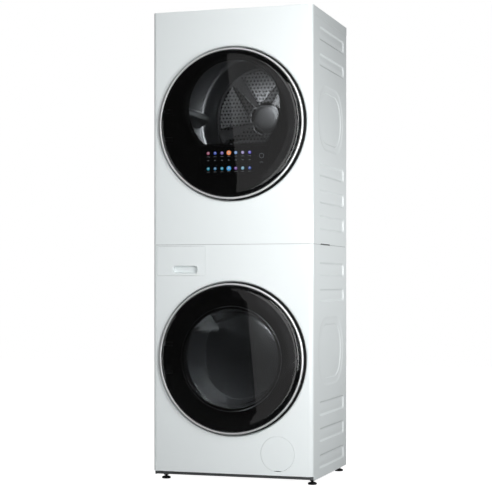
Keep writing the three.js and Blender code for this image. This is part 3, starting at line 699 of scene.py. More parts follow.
def fold_sides(piece, corner):
    """Fold the sheet's two upright edges back round a quarter turn and on to the side panels."""
    for side in (-1, 1):
        edge_x = side * (HALF - corner)
        on_fold = both_ends(lambda place: abs(place.x - edge_x) < EPS and abs(place.y - FRONT) < EPS)
        pick(piece, "EDGE", on_fold)
        bpy.ops.mesh.spin(
            steps=10, angle=-QUARTER * side, center=(edge_x, FRONT + corner, 0), axis=(0, 0, 1)
        )
        bpy.ops.mesh.extrude_region_move(TRANSFORM_OT_translate={"value": (0, 20 * MM - corner, 0)})


def front_sheet(name, node, door, opening, opening_r, holes):
    """A front panel: flat sheet, folded sides, the door's recess and the loading opening."""
    size = sizes()
    low, high = node_box(node)
    piece = start(name)
    outline(-HALF + size.corner, HALF - size.corner, low.z, high.z, FRONT)
    press_round((door.x, door.z), FRONT, recess_rings())
    floor_y = FRONT + size.recess_depth
    collar = [(opening_r + out * MM, depth * MM) for out, depth in ((3, 0), (0.8, 0.8), (0, 3), (0, 12))]
    press_round((opening.x, opening.z), floor_y, collar)
    latch = (232 * MM, 251 * MM, door.z - 13 * MM, door.z + 13 * MM)
    press_slot(piece, latch, 4 * MM, floor_y, [(0.6 * MM, 0.6 * MM), (0.7 * MM, 2 * MM)], floor=False)
    holes(piece)
    fill_level(piece, FRONT)
    fill_level(piece, floor_y)
    fold_sides(piece, size.corner)
    return piece


def finish_sheet(piece, outwards):
    close(piece, outwards)
    thicken(piece, sizes().sheet)
    return even_shading(piece)


def washer_front():
    drawer_low, drawer_high = node_box("drawer_front")
    cover = node_middle("filter_cover")
    slit = 0.4 * MM

    def holes(piece):
        box = (drawer_low.x - slit, drawer_high.x + slit, drawer_low.z - slit, drawer_high.z + slit)
        press_slot(piece, box, 5 * MM, FRONT, [(0, 6 * MM)], floor=False)
        press_round((cover.x, node_box("filter_cover")[1].z - 61.5 * MM), FRONT,
                    [(62.3 * MM, 0), (62.0 * MM, 0.4 * MM), (62.0 * MM, 6 * MM)])

    piece = front_sheet(
        "washer_front_sheet", "washer_front_panel", WASHER_DOOR, WASHER_DOOR, 203 * MM, holes
    )
    finish_sheet(piece, (0, -1, 0))
    return present(piece, "cabinet", "white_paint", "washer_front_panel")


def dryer_front():
    opening = Vector((0, 0, node_middle("dryer_bulkhead").z - 2 * MM))
    piece = front_sheet(
        "dryer_front_sheet", "dryer_front_panel", DRYER_DOOR, opening, 192 * MM, lambda piece: None
    )
    top = node_box("dryer_front_panel")[1].z
    pick(piece, "EDGE", both_ends(lambda place: abs(place.z - top) < EPS))
    bpy.ops.mesh.edge_face_add()
    finish_sheet(piece, (0, -1, 0))
    return present(piece, "cabinet", "white_paint", "dryer_front_panel")


RIB_WALL = [(0.8, 0.3), (3.0, 1.6), (6.0, 3.3), (8.0, 3.8)]     # inset and depth, in mm
WASHER_RIBS = ((736, 787), (645, 692), (239, 292), (147, 198), (53, 104))
DRYER_RIBS = ((1575, 1625), (1483, 1529), (1091, 1140), (995, 1046), (901, 954))
WASHER_OVAL = (341, 592)
DRYER_OVAL = (1185, 1426)
RIB_REACH = (93, 450)           # where the ribs start and end behind the front plane, in mm
OVAL_REACH = (78, 437)


def press_rib(piece, low, high):
    """A long stamping whose floor swells back a little in its middle."""
    box = (RIB_REACH[0] * MM, RIB_REACH[1] * MM, low * MM, high * MM)
    middle, (width, height) = slot_ring(piece, box, 14 * MM, 0.0)
    wall = RIB_WALL + [(15.0, 3.3), (21.0, 2.8)]
    path = [((width - 2 * i * MM) / width, (height - 2 * i * MM) / height, d * MM) for i, d in wall]
    raise_rings(middle, path, 0.0)
    bpy.ops.mesh.edge_face_add()


def press_oval(piece, low, high):
    """The broad round-ended stamping with a raised field inside it."""
    box = (OVAL_REACH[0] * MM, OVAL_REACH[1] * MM, low * MM, high * MM)
    middle, (width, height) = slot_ring(piece, box, 112 * MM, 0.0, quarter_steps=12)
    steps = [(3, 0.3), (8, 1.3), (13, 1.8), (27, 1.8), (28, 2.2), (30, 3.4), (32, 3.8)]
    path = [((width - 2 * i * MM) / width, (height - 2 * i * MM) / height, d * MM) for i, d in steps]
    raise_rings(middle, path, 0.0)
    bpy.ops.mesh.edge_face_add()


def side_sheets(machine, ribs, oval):
    """Both side panels, drawn facing the front with their length along X and then turned into place."""
    low, high = node_box(f"{machine}_right_side")
    right = start(f"{machine}_right_sheet")
    outline(low.y - FRONT, high.y - FRONT, low.z, high.z, 0.0)
    for rib in ribs:
        press_rib(right, *rib)
    press_oval(right, *oval)
    fill_level(right, 0.0)
    pick(right, "EDGE", lambda edge: edge.is_boundary)
    bpy.ops.mesh.extrude_region_move(TRANSFORM_OT_translate={"value": (0, 1.6 * MM, 0)})
    close(right, (0, -1, 0))
    settle(right, turn=(0, 0, QUARTER), move=(HALF - 0.3 * MM, FRONT, 0))
    left = mirrored(copy_of(right, f"{machine}_left_sheet"), (-1, 0, 0))
    for word, piece in (("left", left), ("right", right)):
        thicken(piece, sizes().sheet)
        even_shading(piece)
        present(piece, "cabinet", "white_paint", f"{machine}_{word}_side")


def seam_slots():
    """The dark grip slot in the seam between the two machines, on both sides."""
    low = (HALF - 3 * MM, front_y(110), 847.6 * MM)
    high = (HALF, front_y(239), 853.2 * MM)
    right = block("seam_slot_right", low, high, bevel=1.2 * MM)
    left = mirrored(copy_of(right, "seam_slot_left"))
    for piece in (left, right):
        smooth(piece)
        present(piece, "cabinet", "dark_plastic")


# inset and height of the round cover's steps, then radius and height of a screw head's, in mm
COVER_RISE = ((0, 0), (1.5, 0.6), (4, 3), (7, 3.8), (40, 3.8), (44, 2.6), (60, 2.6))
SCREW_HEAD = ((5, 0), (4.6, 1.6), (3.4, 2.2), (1.6, 2.2), (1.5, 1.2))
SCREW_EDGE = 40                  # from a panel's lower or upper edge to a screw, in mm
SCREW_X = 250


def back_sheet(name, node, centre_z, radius, vents, holes=()):
    """A back panel with a round pressed cover and vent slots, turned to face backwards."""
    low, high = node_box(node)
    back_y = low.y + 1.5 * MM
    piece = start(name)
    outline(low.x, high.x, low.z, high.z, 0.0)
    press_round((0, centre_z), 0.0, [(radius - inset * MM, -rise * MM) for inset, rise in COVER_RISE])
    bpy.ops.mesh.edge_face_add()
    for z in vents:
        vent = (-60 * MM, 60 * MM, z * MM, (z + 8) * MM)
        press_slot(piece, vent, 3.9 * MM, 0.0, [(0.5 * MM, 0.5 * MM), (0.6 * MM, 1.5 * MM)], floor=False)
    for x, z, r in holes:
        press_round((-x * MM, z * MM), 0.0, [(r * MM, 0), (r * MM, 1.2 * MM)])
    for x in (-SCREW_X * MM, SCREW_X * MM):
        for z in (low.z + SCREW_EDGE * MM, (low.z + high.z) / 2, high.z - SCREW_EDGE * MM):
            press_round((x, z), 0.0, [(r * MM, -rise * MM) for r, rise in SCREW_HEAD])
            bpy.ops.mesh.edge_face_add()
    fill_level(piece, 0.0)
    close(piece, (0, -1, 0))
    settle(piece, turn=(0, 0, math.pi), move=(0, back_y, 0))
    thicken(piece, 1.0 * MM)
    even_shading(piece)
    return present(piece, "cabinet", "white_paint", node)


def lid():
    """The top cover: a shallow lid with rounded edges and an open underside."""
    low, high = node_box("top_cover")
    piece = start("top_lid")
    middle = (low + high) / 2
    bpy.ops.mesh.primitive_cube_add(size=1.0, location=middle)
    bpy.ops.transform.resize(value=high - low, center_override=middle)
    pick(piece, "FACE", lambda face: face.normal.z < -0.5)
    bpy.ops.mesh.delete(type="FACE")
    pick(piece, "EDGE", both_ends(lambda place: place.y > middle.y))
    bpy.ops.mesh.bevel(offset=5 * MM, segments=5, affect="EDGES")
    close(piece, (0, 0, 1))
    thicken(piece, sizes().sheet)
    soften(piece, 0.6 * MM)
    even_shading(piece)
    return present(piece, "cabinet", "white_paint", "top_cover")


# ---- doors ----
def glass_profile():
    """Front from the middle out, a shallow outer band, a round edge, and back behind."""
    flat = sizes().glass_flat / MM
    band = [(flat, -25), (flat + 4, -24.98), (241, -24.8), (246, -24.2), (251, -22.9), (254.6, -21.2)]
    edge = [(257.6, -18.6), (259.4, -15.8), (260, -13.6), (259.2, -12.8), (257.2, -12.9)]
    behind = [(254, -15.4), (250.6, -17.4), (245, -18.6), (flat + 7, -21), (flat, -21.4), (flat * 0.5, -21.4)]
    return mm_profile([(flat * 0.5, -25), (flat - 2, -25)] + band + edge + behind)


def fit_to_doors(model, name, slot_name, node=None):
    """Copy a disc or ring, turned about the zero axis, to both doors, or without a node to their recesses."""
    doors = (("washer", WASHER_DOOR), ("dryer", DRYER_DOOR))
    pieces = set_of(model, [f"{machine}_{name}" for machine, door in doors])
    for piece, (machine, door) in zip(pieces, doors):
        settle(piece, move=(door.x, 0, door.z))
        if node:
            present(piece, f"{machine}_door", slot_name, f"{machine}_{node}")
        else:
            present(piece, "cabinet", slot_name)


def door_glasses():
    model = even_shading(turned("glass", (0, 0), glass_profile()), 40)
    fit_to_doors(model, "glass_disc", "smoked_glass", "door_glass")


def door_rings():
    points = arc(262.8, -13.4, 2.1, 180, 270, 5) + arc(265.4, -12.9, 2.6, 270, 360, 6)
    points += [(268.0, -10.3), (260.7, -10.3)]
    model = smooth(turned("ring", (0, 0), mm_profile(points), loop=True), 50)
    fit_to_doors(model, "bright_ring", "bright_ring", "door_ring")


def recess_shade_rings():
    """A black ring laid on the floor of each door's recess: painted shade that darkens the gap between the
    door ring and the recess wall.
    """
    points = [(262.4, 15), (263, 14.4), (271.6, 14.4), (272.2, 15), (272.2, 20.2), (262.4, 20.2)]
    model = smooth(turned("trim", (0, 0), mm_profile(points), loop=True), 40)
    # the black plastic here is painted shade, standing in for the shadow deep in the recess
    fit_to_doors(model, "recess_trim", "black_plastic")


HINGE_X = -256 * MM
ARM_Z = 50 * MM


def hinge_and_hook(piece, door):
    """Cut the pockets of the hinge arms, then add the hinge pins and the latch hook."""
    lower, upper = door.z - ARM_Z, door.z + ARM_Z
    low = (HINGE_X - 19 * MM, front_y(-11), lower - 8 * MM)
    high = (HINGE_X + 38 * MM, front_y(13), lower + 8 * MM)
    pockets = set_of(block("pocket", low, high), ["lower pocket", "upper pocket"])
    settle(pockets[1], move=(0, 0, upper - lower))
    for pocket in pockets:
        cut_away(piece, pocket)
    pin = turned("pin", (0, 0), [(2.5 * MM, -10 * MM), (2.5 * MM, 10 * MM)], steps=24)
    pins = set_of(pin, ["lower pin", "upper pin"])
    for made, z in zip(pins, (lower, upper)):
        settle(made, turn=(QUARTER, 0, 0), move=(HINGE_X, front_y(-5), z))
    low = (238 * MM, front_y(11), door.z - 8 * MM)
    high = (242 * MM, front_y(33), door.z + 8 * MM)
    stem = block("stem", low, high, 1 * MM)
    low = (238.2 * MM, front_y(28), door.z - 7.9 * MM)
    high = (245 * MM, front_y(32.8), door.z + 7.9 * MM)
    nose = block("nose", low, high, 1.6 * MM)
    return join(piece, *pins, stem, nose)


def washer_frame():
    """The ring that holds glass and bowl, with a sealing groove at its back."""
    points = [(188.5, -8.0), (189.8, -9.4), (262.6, -9.4), (264, -8), (264, 10.6), (262.6, 12),
              (214, 12), (212, 10), (208, 10), (206, 12), (189.8, 12), (188.5, 10.6)]
    piece = turned("washer_door_ring_frame", (WASHER_DOOR.x, WASHER_DOOR.z), mm_profile(points), loop=True)
    hinge_and_hook(piece, WASHER_DOOR)
    smooth(piece, 30)
    return present(piece, "washer_door", "black_plastic", "washer_door_frame")


def dryer_frame():
    """The dryer's door moulding: a disc with a window, flat below, and a plug behind it."""
    piece = start("dryer_door_window_frame")
    x, z = DRYER_DOOR.x, DRYER_DOOR.z
    plate_y = front_y(-9.4)
    ring_of_points((x, z), 262.5 * MM, plate_y, sizes().steps)
    rim = 264 / 262.5
    raise_rings((x, z), [(rim, rim, front_y(-8)), (rim, rim, front_y(12))], plate_y)
    window = (x, z + 61 * MM)
    chord = z - 77 * MM
    ring_of_points(window, 186 * MM, plate_y, sizes().steps)
    ring = picked_points(piece)
    pick(piece, "VERT", lambda vertex: vertex.index in ring and vertex.co.z < chord)
    bpy.ops.transform.resize(value=(1, 1, 0), center_override=(x, plate_y, chord))
    pick(piece, "VERT", lambda vertex: vertex.index in ring)
    plug = ((0.985, -7), (0.95, 6), (0.945, 33), (0.925, 34))
    raise_rings(window, [(grow, grow, front_y(depth)) for grow, depth in plug], plate_y)
    fill_level(piece, plate_y)
    close(piece, (0, -1, 0))
    thicken(piece, 2.4 * MM)
    hinge_and_hook(piece, DRYER_DOOR)
    smooth(piece, 30)
    return present(piece, "dryer_door", "black_plastic", "dryer_door_frame")


def bowl():
    points = [(60, 99.8), (136, 99.8)] + arc(140, 84, 15.8, 80, 12, 7)
    points += [(168, 36), (174, 14), (181, 2), (184, -4), (184, -9), (178.5, -9), (178.5, -3), (175.5, 3)]
    points += [(169, 15), (163, 37), (151.5, 80)] + arc(139, 83.5, 11.5, 10, 85, 5) + [(60, 95)]
    piece = turned("washer_clear_bowl", (WASHER_DOOR.x, WASHER_DOOR.z), mm_profile(points))
    smooth(piece, 45)
    return present(piece, "washer_door", "clear_glass", "washer_door_bowl")


def seal():
    points = [(192, 24.5), (194, 23), (202.2, 23), (202.2, 36), (199, 40), (197.6, 46), (199, 54)]
    points += [(204, 60), (204.2, 77), (200.2, 77), (199.6, 64), (194, 58), (191, 52), (190.4, 46)]
    points += [(191.5, 40), (192.4, 34)]
    piece = turned("washer_door_seal", (WASHER_DOOR.x, WASHER_DOOR.z), mm_profile(points), loop=True)
    smooth(piece, 60)
    return present(piece, "cabinet", "grey_rubber", "door_gasket")


# ---- drums ----
def washer_drum():
    points = [(198, 84.4), (196.6, 83.6), (196.6, 82.2), (198, 82), (236, 82)] + arc(236, 86, 4, 270, 360, 4)
    points += [(240, 120), (239, 124), (239, 128), (240, 132)]
    points += [(240, 316), (239, 320), (239, 324), (240, 328), (240, 362)]
    points += arc(236, 362, 4, 0, 90, 4) + [(60, 366)]
    inner = [(60, 364)] + arc(235.6, 361.6, 2.4, 90, 0, 3) + [(238, 328), (237, 324), (237, 320), (238, 316)]
    inner += [(238, 132), (237, 128), (237, 124), (238, 120), (238, 86), (236, 84.4)]
    piece = turned("washer_drum_shell", (0, WASHER_DRUM.z), mm_profile(points[::-1] + inner[::-1]))
    smooth(piece, 40)
    present(piece, "washer_drum_body", "drum_steel", "washer_drum", material="perforated_wall")
    piece.data.materials.append(MATERIALS["drum_steel"])
    for face in piece.data.polygons:
        face.material_index = int(abs(face.normal.y) > 0.5)
    return piece


def lifting_bars(machine, node, axis_z, width, height, base_r, slot_name):
    """A drum's lifting bars: a block drawn in to a narrow rounded crest, copied and swung to three places."""
    low, high = node_box(f"{node}_1")
    middle = Vector((0, (low.y + high.y) / 2, base_r - height / 2))
    model = start("lifting bar")
    bpy.ops.mesh.primitive_cube_add(size=1.0, location=middle)
    bpy.ops.transform.resize(value=(width, high.y - low.y, height), center_override=middle)
    pick(model, "FACE", lambda face: face.normal.z < -0.5)
    bpy.ops.transform.resize(value=(0.34, 0.84, 1), center_override=(0, middle.y, base_r))
    pick(model, "EDGE", lambda edge: any(vertex.co.z < middle.z for vertex in edge.verts))
    bpy.ops.mesh.bevel(offset=7 * MM, segments=5, affect="EDGES")
    close(model)
    smooth(model, 40)
    step = math.radians(30)
    for i, bar in enumerate(set_of(model, [f"{machine}_bar_{i}" for i in (1, 2, 3)]), 1):
        place = node_middle(f"{node}_{i}")
        angle = round(math.atan2(place.x, place.z - axis_z) / step) * step
        settle(bar, turn=(0, angle, 0), move=(0, 0, axis_z))
        present(bar, f"{machine}_drum_body", slot_name, f"{node}_{i}")


def dryer_drum():
    points = [(203, 64), (200.6, 63.4), (200.6, 62.2), (203, 62), (266, 62)] + arc(268, 66, 4, 270, 360, 4)
    points += [(272, 420)] + arc(260, 422, 12, 0, 80, 8) + [(212, 435), (208.4, 434.6), (208.4, 433)]
    points += [(222, 433.2)]
    points += arc(246, 409.6, 23.6, 78, 0, 12) + [(269.6, 70), (266, 64)]
    piece = turned("dryer_drum_shell", (0, DRYER_DRUM.z), mm_profile(points), loop=True)
    smooth(piece, 45)
    return present(piece, "dryer_drum_body", "drum_steel", "dryer_drum")


def dryer_rear_plate():
    """The dished rear disc with its rim, hub and stub shaft."""
    points = [(20, 417.6), (36, 418), (42, 419), (46, 421.5), (49, 425.5), (54, 428), (190, 428), (194, 426)]
    points += [(198, 424.6), (202, 425), (205, 427.4), (206, 430), (206, 433)]
    points += [(200, 433.4), (50, 433.4), (44, 438), (12, 438), (12, 468)]
    plate = turned("dryer_rear_plate", (0, DRYER_DRUM.z), mm_profile(points))
    smooth(plate, 45)
    return present(plate, "dryer_drum_body", "drum_steel", "dryer_drum_back", material="plate_steel")


CELL_TURN = math.radians(92)     # from the +X direction to the middle of the first perforated field


def perforated_cells():
    """The five perforated fields of the rear disc, each with a rounded raised border."""
    inner, outer = 62 * MM, 190 * MM
    span = math.radians(60)
    border_y = front_y(425)
    piece = start("plate cell")
    bpy.ops.mesh.primitive_plane_add(size=1.0, location=(0, border_y, 0), rotation=(QUARTER, 0, 0))
    pick(piece, "VERT", lambda vertex: vertex.co.z > 0)
    bpy.ops.mesh.delete(type="VERT")
    pick(piece, "VERT", lambda vertex: True)
    bpy.ops.transform.translate(value=(0, 0, 0.5))
    bpy.ops.transform.resize(value=(outer - inner, 1, 1), center_override=(0, border_y, 0))
    bpy.ops.transform.translate(value=((outer + inner) / 2, 0, 0))
    pick(piece, "EDGE", lambda edge: True)
    bpy.ops.mesh.spin(steps=28, angle=span, center=(0, border_y, 0), axis=(0, 1, 0))
    bpy.ops.mesh.select_all(action="SELECT")
    bpy.ops.mesh.remove_doubles(threshold=EPS)
    bpy.ops.mesh.dissolve_faces(use_verts=False)
    swing = span / 2 * (1 if min(v.co.z for v in bmesh.from_edit_mesh(piece.data).verts) < -0.02 else -1)

    def corner(vertex):
        lean = abs(math.atan2(vertex.co.z, vertex.co.x))
        return lean < 0.001 or lean > span - 0.001

    pick(piece, "VERT", corner)
    bpy.ops.mesh.bevel(offset=13 * MM, segments=6, affect="VERTICES", clamp_overlap=False)
    pick(piece, "FACE", lambda face: True)
    for width, step in ((1.5, -1.0), (2.5, -0.3), (2.5, 1.2), (1.5, 1.7)):
        bpy.ops.mesh.inset(thickness=width * MM, use_even_offset=False)
        bpy.ops.transform.translate(value=(0, step * MM, 0))
    close(piece, (0, -1, 0))
    thicken(piece, 0.8 * MM)
    smooth(piece, 50)
    for k, cell in enumerate(set_of(piece, [f"dryer_plate_cell_{k + 1}" for k in range(5)])):
        settle(cell, turn=(0, -swing - CELL_TURN - 2 * math.pi / 5 * k, 0), move=(0, 0, DRYER_DRUM.z))
        present(cell, "dryer_drum_body", "drum_steel", material="perforated_plate")


def bulkhead():
    points = [(190, 40), (192, 38), (283, 38), (285, 40), (285, 44)]
    points += [(197, 44), (196, 45), (196, 74), (192, 74), (190, 72)]
    centre = (0, node_middle("dryer_bulkhead").z)
    piece = turned("dryer_front_bulkhead", centre, mm_profile(points), loop=True)
    filter_slot = block("slot", (-102 * MM, front_y(45.5), 1128 * MM), (102 * MM, front_y(58.5), 1192 * MM))
    cut_away(piece, filter_slot)
    smooth(piece, 35)
    return present(piece, "cabinet", "pale_plastic", "dryer_bulkhead")


# ---- controls, drawer, filter and feet ----
def drawer_face():
    """The drawer's fascia with its finger pocket."""
    low, high = node_box("drawer_front")
    piece = start("drawer_fascia")
    y = low.y
    face = (low.x + 1 * MM, high.x - 1 * MM, low.z + 1 * MM, high.z - 1 * MM)
    middle, (width, height) = slot_ring(piece, face, 4 * MM, y)
    grow = [(width + 2 * i * MM) / width for i in (0.7, 1.0, 1.0)]
    tall = [(height + 2 * i * MM) / height for i in (0.7, 1.0, 1.0)]
    raise_rings(middle, list(zip(grow, tall, (y + 0.3 * MM, y + 1 * MM, y + 3 * MM))), y)
    grip = (-224 * MM, -128 * MM, 746 * MM, 775 * MM)
    walls = [(inset * MM, depth * MM) for inset, depth in ((0.8, 0.3), (1.8, 1.6), (2.4, 15), (4, 17.4))]
    press_slot(piece, grip, 9 * MM, y, walls, quarter_steps=8)
    fill_level(piece, y)
    close(piece, (0, -1, 0))
    thicken(piece, 1.2 * MM)
    even_shading(piece)
    return present(piece, "detergent_drawer", "white_plastic", "drawer_front")


def filter_flap():
    """The round filter cover: hinged along its flat lower edge, with a finger notch at its top."""
    low, high = node_box("filter_cover")
    centre = ((low.x + high.x) / 2, high.z - 61.5 * MM)
    points = [(30, 0)] + arc(60.5, 1.0, 1.0, 270, 360, 4) + [(61.5, 2.9), (59.5, 2.9), (59.5, 1.8), (30, 1.8)]
    piece = turned("filter_flap_cover", centre, mm_profile(points))
    past = 10 * MM
    corner = (centre[0] - 100 * MM, low.y - past, low.z - 50 * MM)
    cut_away(piece, block("below", corner, (centre[0] + 100 * MM, high.y + past, low.z)))
    notch = [(9 * MM, low.y - past), (9 * MM, low.y + 1 * MM)]
    cut_away(piece, turned("notch", (centre[0], high.z + 2 * MM), notch, steps=48))
    even_shading(piece, 30)
    return present(piece, "filter_flap", "white_plastic", "filter_cover")


def feet():
    """Four levelling feet: rubber pad, locking nut and threaded stud, modelled once."""
    profile = [(13, 0), (15.2, 0.6), (16, 2), (16, 5.4), (15, 7), (11, 8.2), (10.4, 9.2), (5.2, 9.2)]
    z = 10.0
    while z < 43:
        profile += [(5.0, z), (4.3, z + 0.75)]
        z += 1.5
    upright = [(r * MM, -z * MM) for r, z in profile]
    first = turned("levelling_foot", (0, 0), upright, steps=48)
    nut = start("nut")
    ring_of_points((0, 0), 9.2 * MM, -13 * MM, 6)
    raise_rings((0, 0), [(1, 1, -18 * MM)], -13 * MM)
    raise_rings((0, 0), [(0.55, 0.55, -18 * MM), (0.55, 0.55, -13 * MM), (1, 1, -13 * MM)], -18 * MM)
    close(nut)
    join(first, nut)
    settle(first, turn=(-QUARTER, 0, 0))
    if max(v.co.z for v in first.data.vertices) < 1 * MM:
        settle(first, turn=(math.pi, 0, 0))
    smooth(first, 30)
    nodes = ("foot_front_left", "foot_front_right", "foot_rear_left", "foot_rear_right")
    for number, foot in enumerate(set_of(first, [f"levelling_{name}" for name in nodes]), 1):
        name = nodes[number - 1]
        place = node_middle(name)
        settle(foot, move=(place.x, place.y, 0))
        present(foot, f"foot_{number}", "black_rubber", name)


# height of each row, how far its captions lie below it, and its colours
ICON_ROWS = (
    (1172, 12.5, ((0.5, 0.14, 0.22), (0.08, 0.14, 0.6), (0.3, 0.2, 0.6), (1.0, 0.33, 0.12),
                  (0.3, 0.5, 0.9), (0.5, 0.4, 0.75), (0.18, 0.14, 0.75))),
    (1117, 11.5, ((0.04, 0.38, 0.5), (0.07, 0.24, 0.42), (0.04, 0.4, 0.6), (0.08, 0.36, 0.7),
                  (0.3, 0.12, 0.5), (0.3, 0.6, 0.75), (0.05, 0.12, 0.5))),
)
ICON_SPAN = (-80, 74)            # from the first icon of a row to the last, in mm
MARK_Z = 1146
POWER_X = 118


DISPLAY_Y = node_box("dryer_display")[0].y
DOT_RADIUS = 5.6 * MM
BIG_DOT = 8.2 / 5.6
CORE = 0.4                       # radius of a dot's bright core, as a share of the dot's


def dot_model():
    """A raised dot with a soft rim."""
    rim = ((0.5, -0.5), (0.85, -0.45), (1.0, -0.1), (1.0, 0.3))
    profile = [(DOT_RADIUS * share, DISPLAY_Y + height * MM) for share, height in rim]
    return smooth(turned("dot", (0, 0), profile, steps=24), 60)


def bar_model(width, height):
    """A small generic bar in place of a caption."""
    low = (-width * MM / 2, DISPLAY_Y - 0.4 * MM, -height * MM / 2)
    high = (width * MM / 2, DISPLAY_Y + 0.3 * MM, height * MM / 2)
    return smooth(block("bar", low, high, bevel=0.24 * MM, segments=2), 60)


def on_display(model, name, x, z, material, scale=1.0, lift=0.0):
    """A copy of a dot or bar, drawn to its scale and set on the display. x and z are in mm."""
    piece = copy_of(model, name)
    piece.scale = (scale, 1, scale)
    settle(piece, move=(x * MM, -lift, z * MM))
    return dress(piece, "dryer_door", "display", material)


def display_symbols():
    """Two rows of round coloured programme symbols, captions as bars, and a ring for power."""
    grey = glowing("caption glow", (0.5, 0.52, 0.55), 1.1)
    bright = glowing("symbol core glow", (0.8, 0.82, 0.9), 3.5)
    dot, caption, mark = dot_model(), bar_model(11, 1.6), bar_model(7, 2.4)
    power_bar = bar_model(12, 1.8)
    step = (ICON_SPAN[1] - ICON_SPAN[0]) / 6
    for row, (height, drop, tints) in enumerate(ICON_ROWS, 1):
        for i, tint in enumerate(tints, 1):
            x = ICON_SPAN[0] + step * (i - 1)
            scale, strength = (BIG_DOT, 6.0) if i == 4 else (1.0, 4.5)
            glow = glowing(f"symbol glow {row}-{i}", tint, strength)
            on_display(dot, f"symbol_{row}_{i}", x, height, glow, scale)
            on_display(dot, f"symbol_core_{row}_{i}", x, height + 1.2, bright, scale * CORE, 0.5 * MM)
            on_display(caption, f"caption_{row}_{i}", x, height - drop, grey)
    for i in range(7):
        on_display(mark, f"middle_mark_{i + 1}", ICON_SPAN[0] + step * i, MARK_Z, grey)
    on_display(power_bar, "power_mark", POWER_X, 1136, grey)
    for model in (dot, caption, mark, power_bar):
        bpy.data.objects.remove(model, do_unlink=True)
    front, back = DISPLAY_Y - 0.4 * MM, DISPLAY_Y + 0.2 * MM
    profile = [(7.4 * MM, front), (9 * MM, front), (9 * MM, back), (7.4 * MM, back)]
    ring = turned("power_ring", (POWER_X * MM, 1159 * MM), profile, loop=True, steps=40)
    smooth(ring, 40)
    dress(ring, "dryer_door", "display", grey)


# ---- operators ----
class LAUNDRY_OT_finishes(bpy.types.Operator):
    """Make the node groups and materials, and give every frame node its finish"""

    bl_idname = "laundry.finishes"
    bl_label = "Finishes"

    def execute(self, context):
        make_surface_group()
        make_brushing_group()
        make_perforation_group()
        MATERIALS.update(make_materials())
        slots = {row["node"]: row["material_slot"] for row in frame["record"]["subparts"]}
        for name, obj in frame["nodes"].items():
            obj.data.materials.clear()
            obj.data.materials.append(MATERIALS[slots[name]])
        return {"FINISHED"}


class LAUNDRY_OT_cabinet(bpy.types.Operator):
    """Model the front, side and back panels and the lid"""

    bl_idname = "laundry.cabinet"
    bl_label = "Cabinet"

    def execute(self, context):
        washer_front()
        dryer_front()
        side_sheets("washer", WASHER_RIBS, WASHER_OVAL)
        side_sheets("dryer", DRYER_RIBS, DRYER_OVAL)
        seam_slots()
        back_sheet("washer_back_sheet", "washer_back_panel", WASHER_DRUM.z, 175 * MM, (700, 720, 740),
                   ((250, 829, 11), (-240, 780, 9.8)))
        back_sheet("dryer_back_sheet", "dryer_back_panel", DRYER_DRUM.z, 200 * MM,
                   (900, 920, 940, 960, 980, 1000))
        lid()
        return {"FINISHED"}


class LAUNDRY_OT_doors(bpy.types.Operator):
    """Model both doors, the washer's bowl and its seal"""

    bl_idname = "laundry.doors"
    bl_label = "Doors"

    def execute(self, context):
        door_glasses()
        door_rings()
        recess_shade_rings()
        washer_frame()
        dryer_frame()
        bowl()
        seal()
        return {"FINISHED"}


class LAUNDRY_OT_drums(bpy.types.Operator):
    """Model both drums, their lifting bars and the dryer's bulkhead"""

    bl_idname = "laundry.drums"
    bl_label = "Drums"

    def execute(self, context):
        washer_drum()
        dryer_drum()
        dryer_rear_plate()
        bulkhead()
        perforated_cells()
        lifting_bars("washer", "washer_paddle", WASHER_DRUM.z, 52 * MM, 44 * MM, 234 * MM, "pale_plastic")
        lifting_bars("dryer", "dryer_lifter", DRYER_DRUM.z, 68 * MM, 50 * MM, 264 * MM, "drum_steel")
        return {"FINISHED"}


class LAUNDRY_OT_controls(bpy.types.Operator):
    """Model the display's symbols, the drawer's face, the filter flap and the feet"""

    bl_idname = "laundry.controls"
    bl_label = "Controls and feet"

    def execute(self, context):
        display_symbols()
        drawer_face()
        filter_flap()
        feet()
        return {"FINISHED"}


FAR = FRONT - 4.76
# name, place, aim, width, height, power, spread in degrees, roll in degrees
LIGHTS = (
    ("tall front panel", (-1.135, FAR, 1.5), (-1.135, 0, 1.5), 0.8, 4.8, 6.6, 180, 5),
    ("broad front panel", (0.12, FAR, 1.2), (0.12, 0, 1.2), 2.0, 4.6, 72.0, 180, 0),
    ("key from the right", (0.8, FRONT - 0.95, 1.15), (0.12, FRONT, 1.05), 0.4, 1.9, 17.5, 180, 0),
    ("side panel light", (1.4, 0.3, 0.9), (0.3, 0.1, 0.88), 0.4, 0.3, 8.4, 180, 0),
    ("low panel at the left", (-3.2, -1.3, 0.7), (0, FRONT, 0.8), 1.2, 2.2, 14.0, 180, 0),
    ("washer drum lamp", (0.05, front_y(180), WASHER_DRUM.z + 0.15),
     (-0.02, front_y(300), WASHER_DRUM.z - 0.1), 0.16, 0.06, 0.9, 180, 0),
    ("dryer drum lamp", (0.05, front_y(330), DRYER_DRUM.z + 0.08),
     (-0.08, front_y(433), DRYER_DRUM.z + 0.02), 0.14, 0.12, 0.6, 140, 0),
)
CAMERA_PLACE = (1.586, FRONT - 4.749, 0.7066)
CAMERA_TURN = math.radians(17.52)
CAMERA_LENS = 103.2
CAMERA_SHIFT = (-0.0180, 0.0774)


def area_light(name, place, aim, width, height, power, spread, roll):
    bpy.ops.object.light_add(type="AREA", location=place)
    lamp = bpy.context.object
    lamp.name = name
    lamp.data.shape = "RECTANGLE"
    lamp.data.size = width
    lamp.data.size_y = height
    lamp.data.energy = power
    lamp.data.spread = math.radians(spread)
    lamp.rotation_euler = (Vector(aim) - Vector(place)).to_track_quat("-Z", "Y").to_euler()
    lamp.rotation_euler.rotate_axis("Z", math.radians(roll))


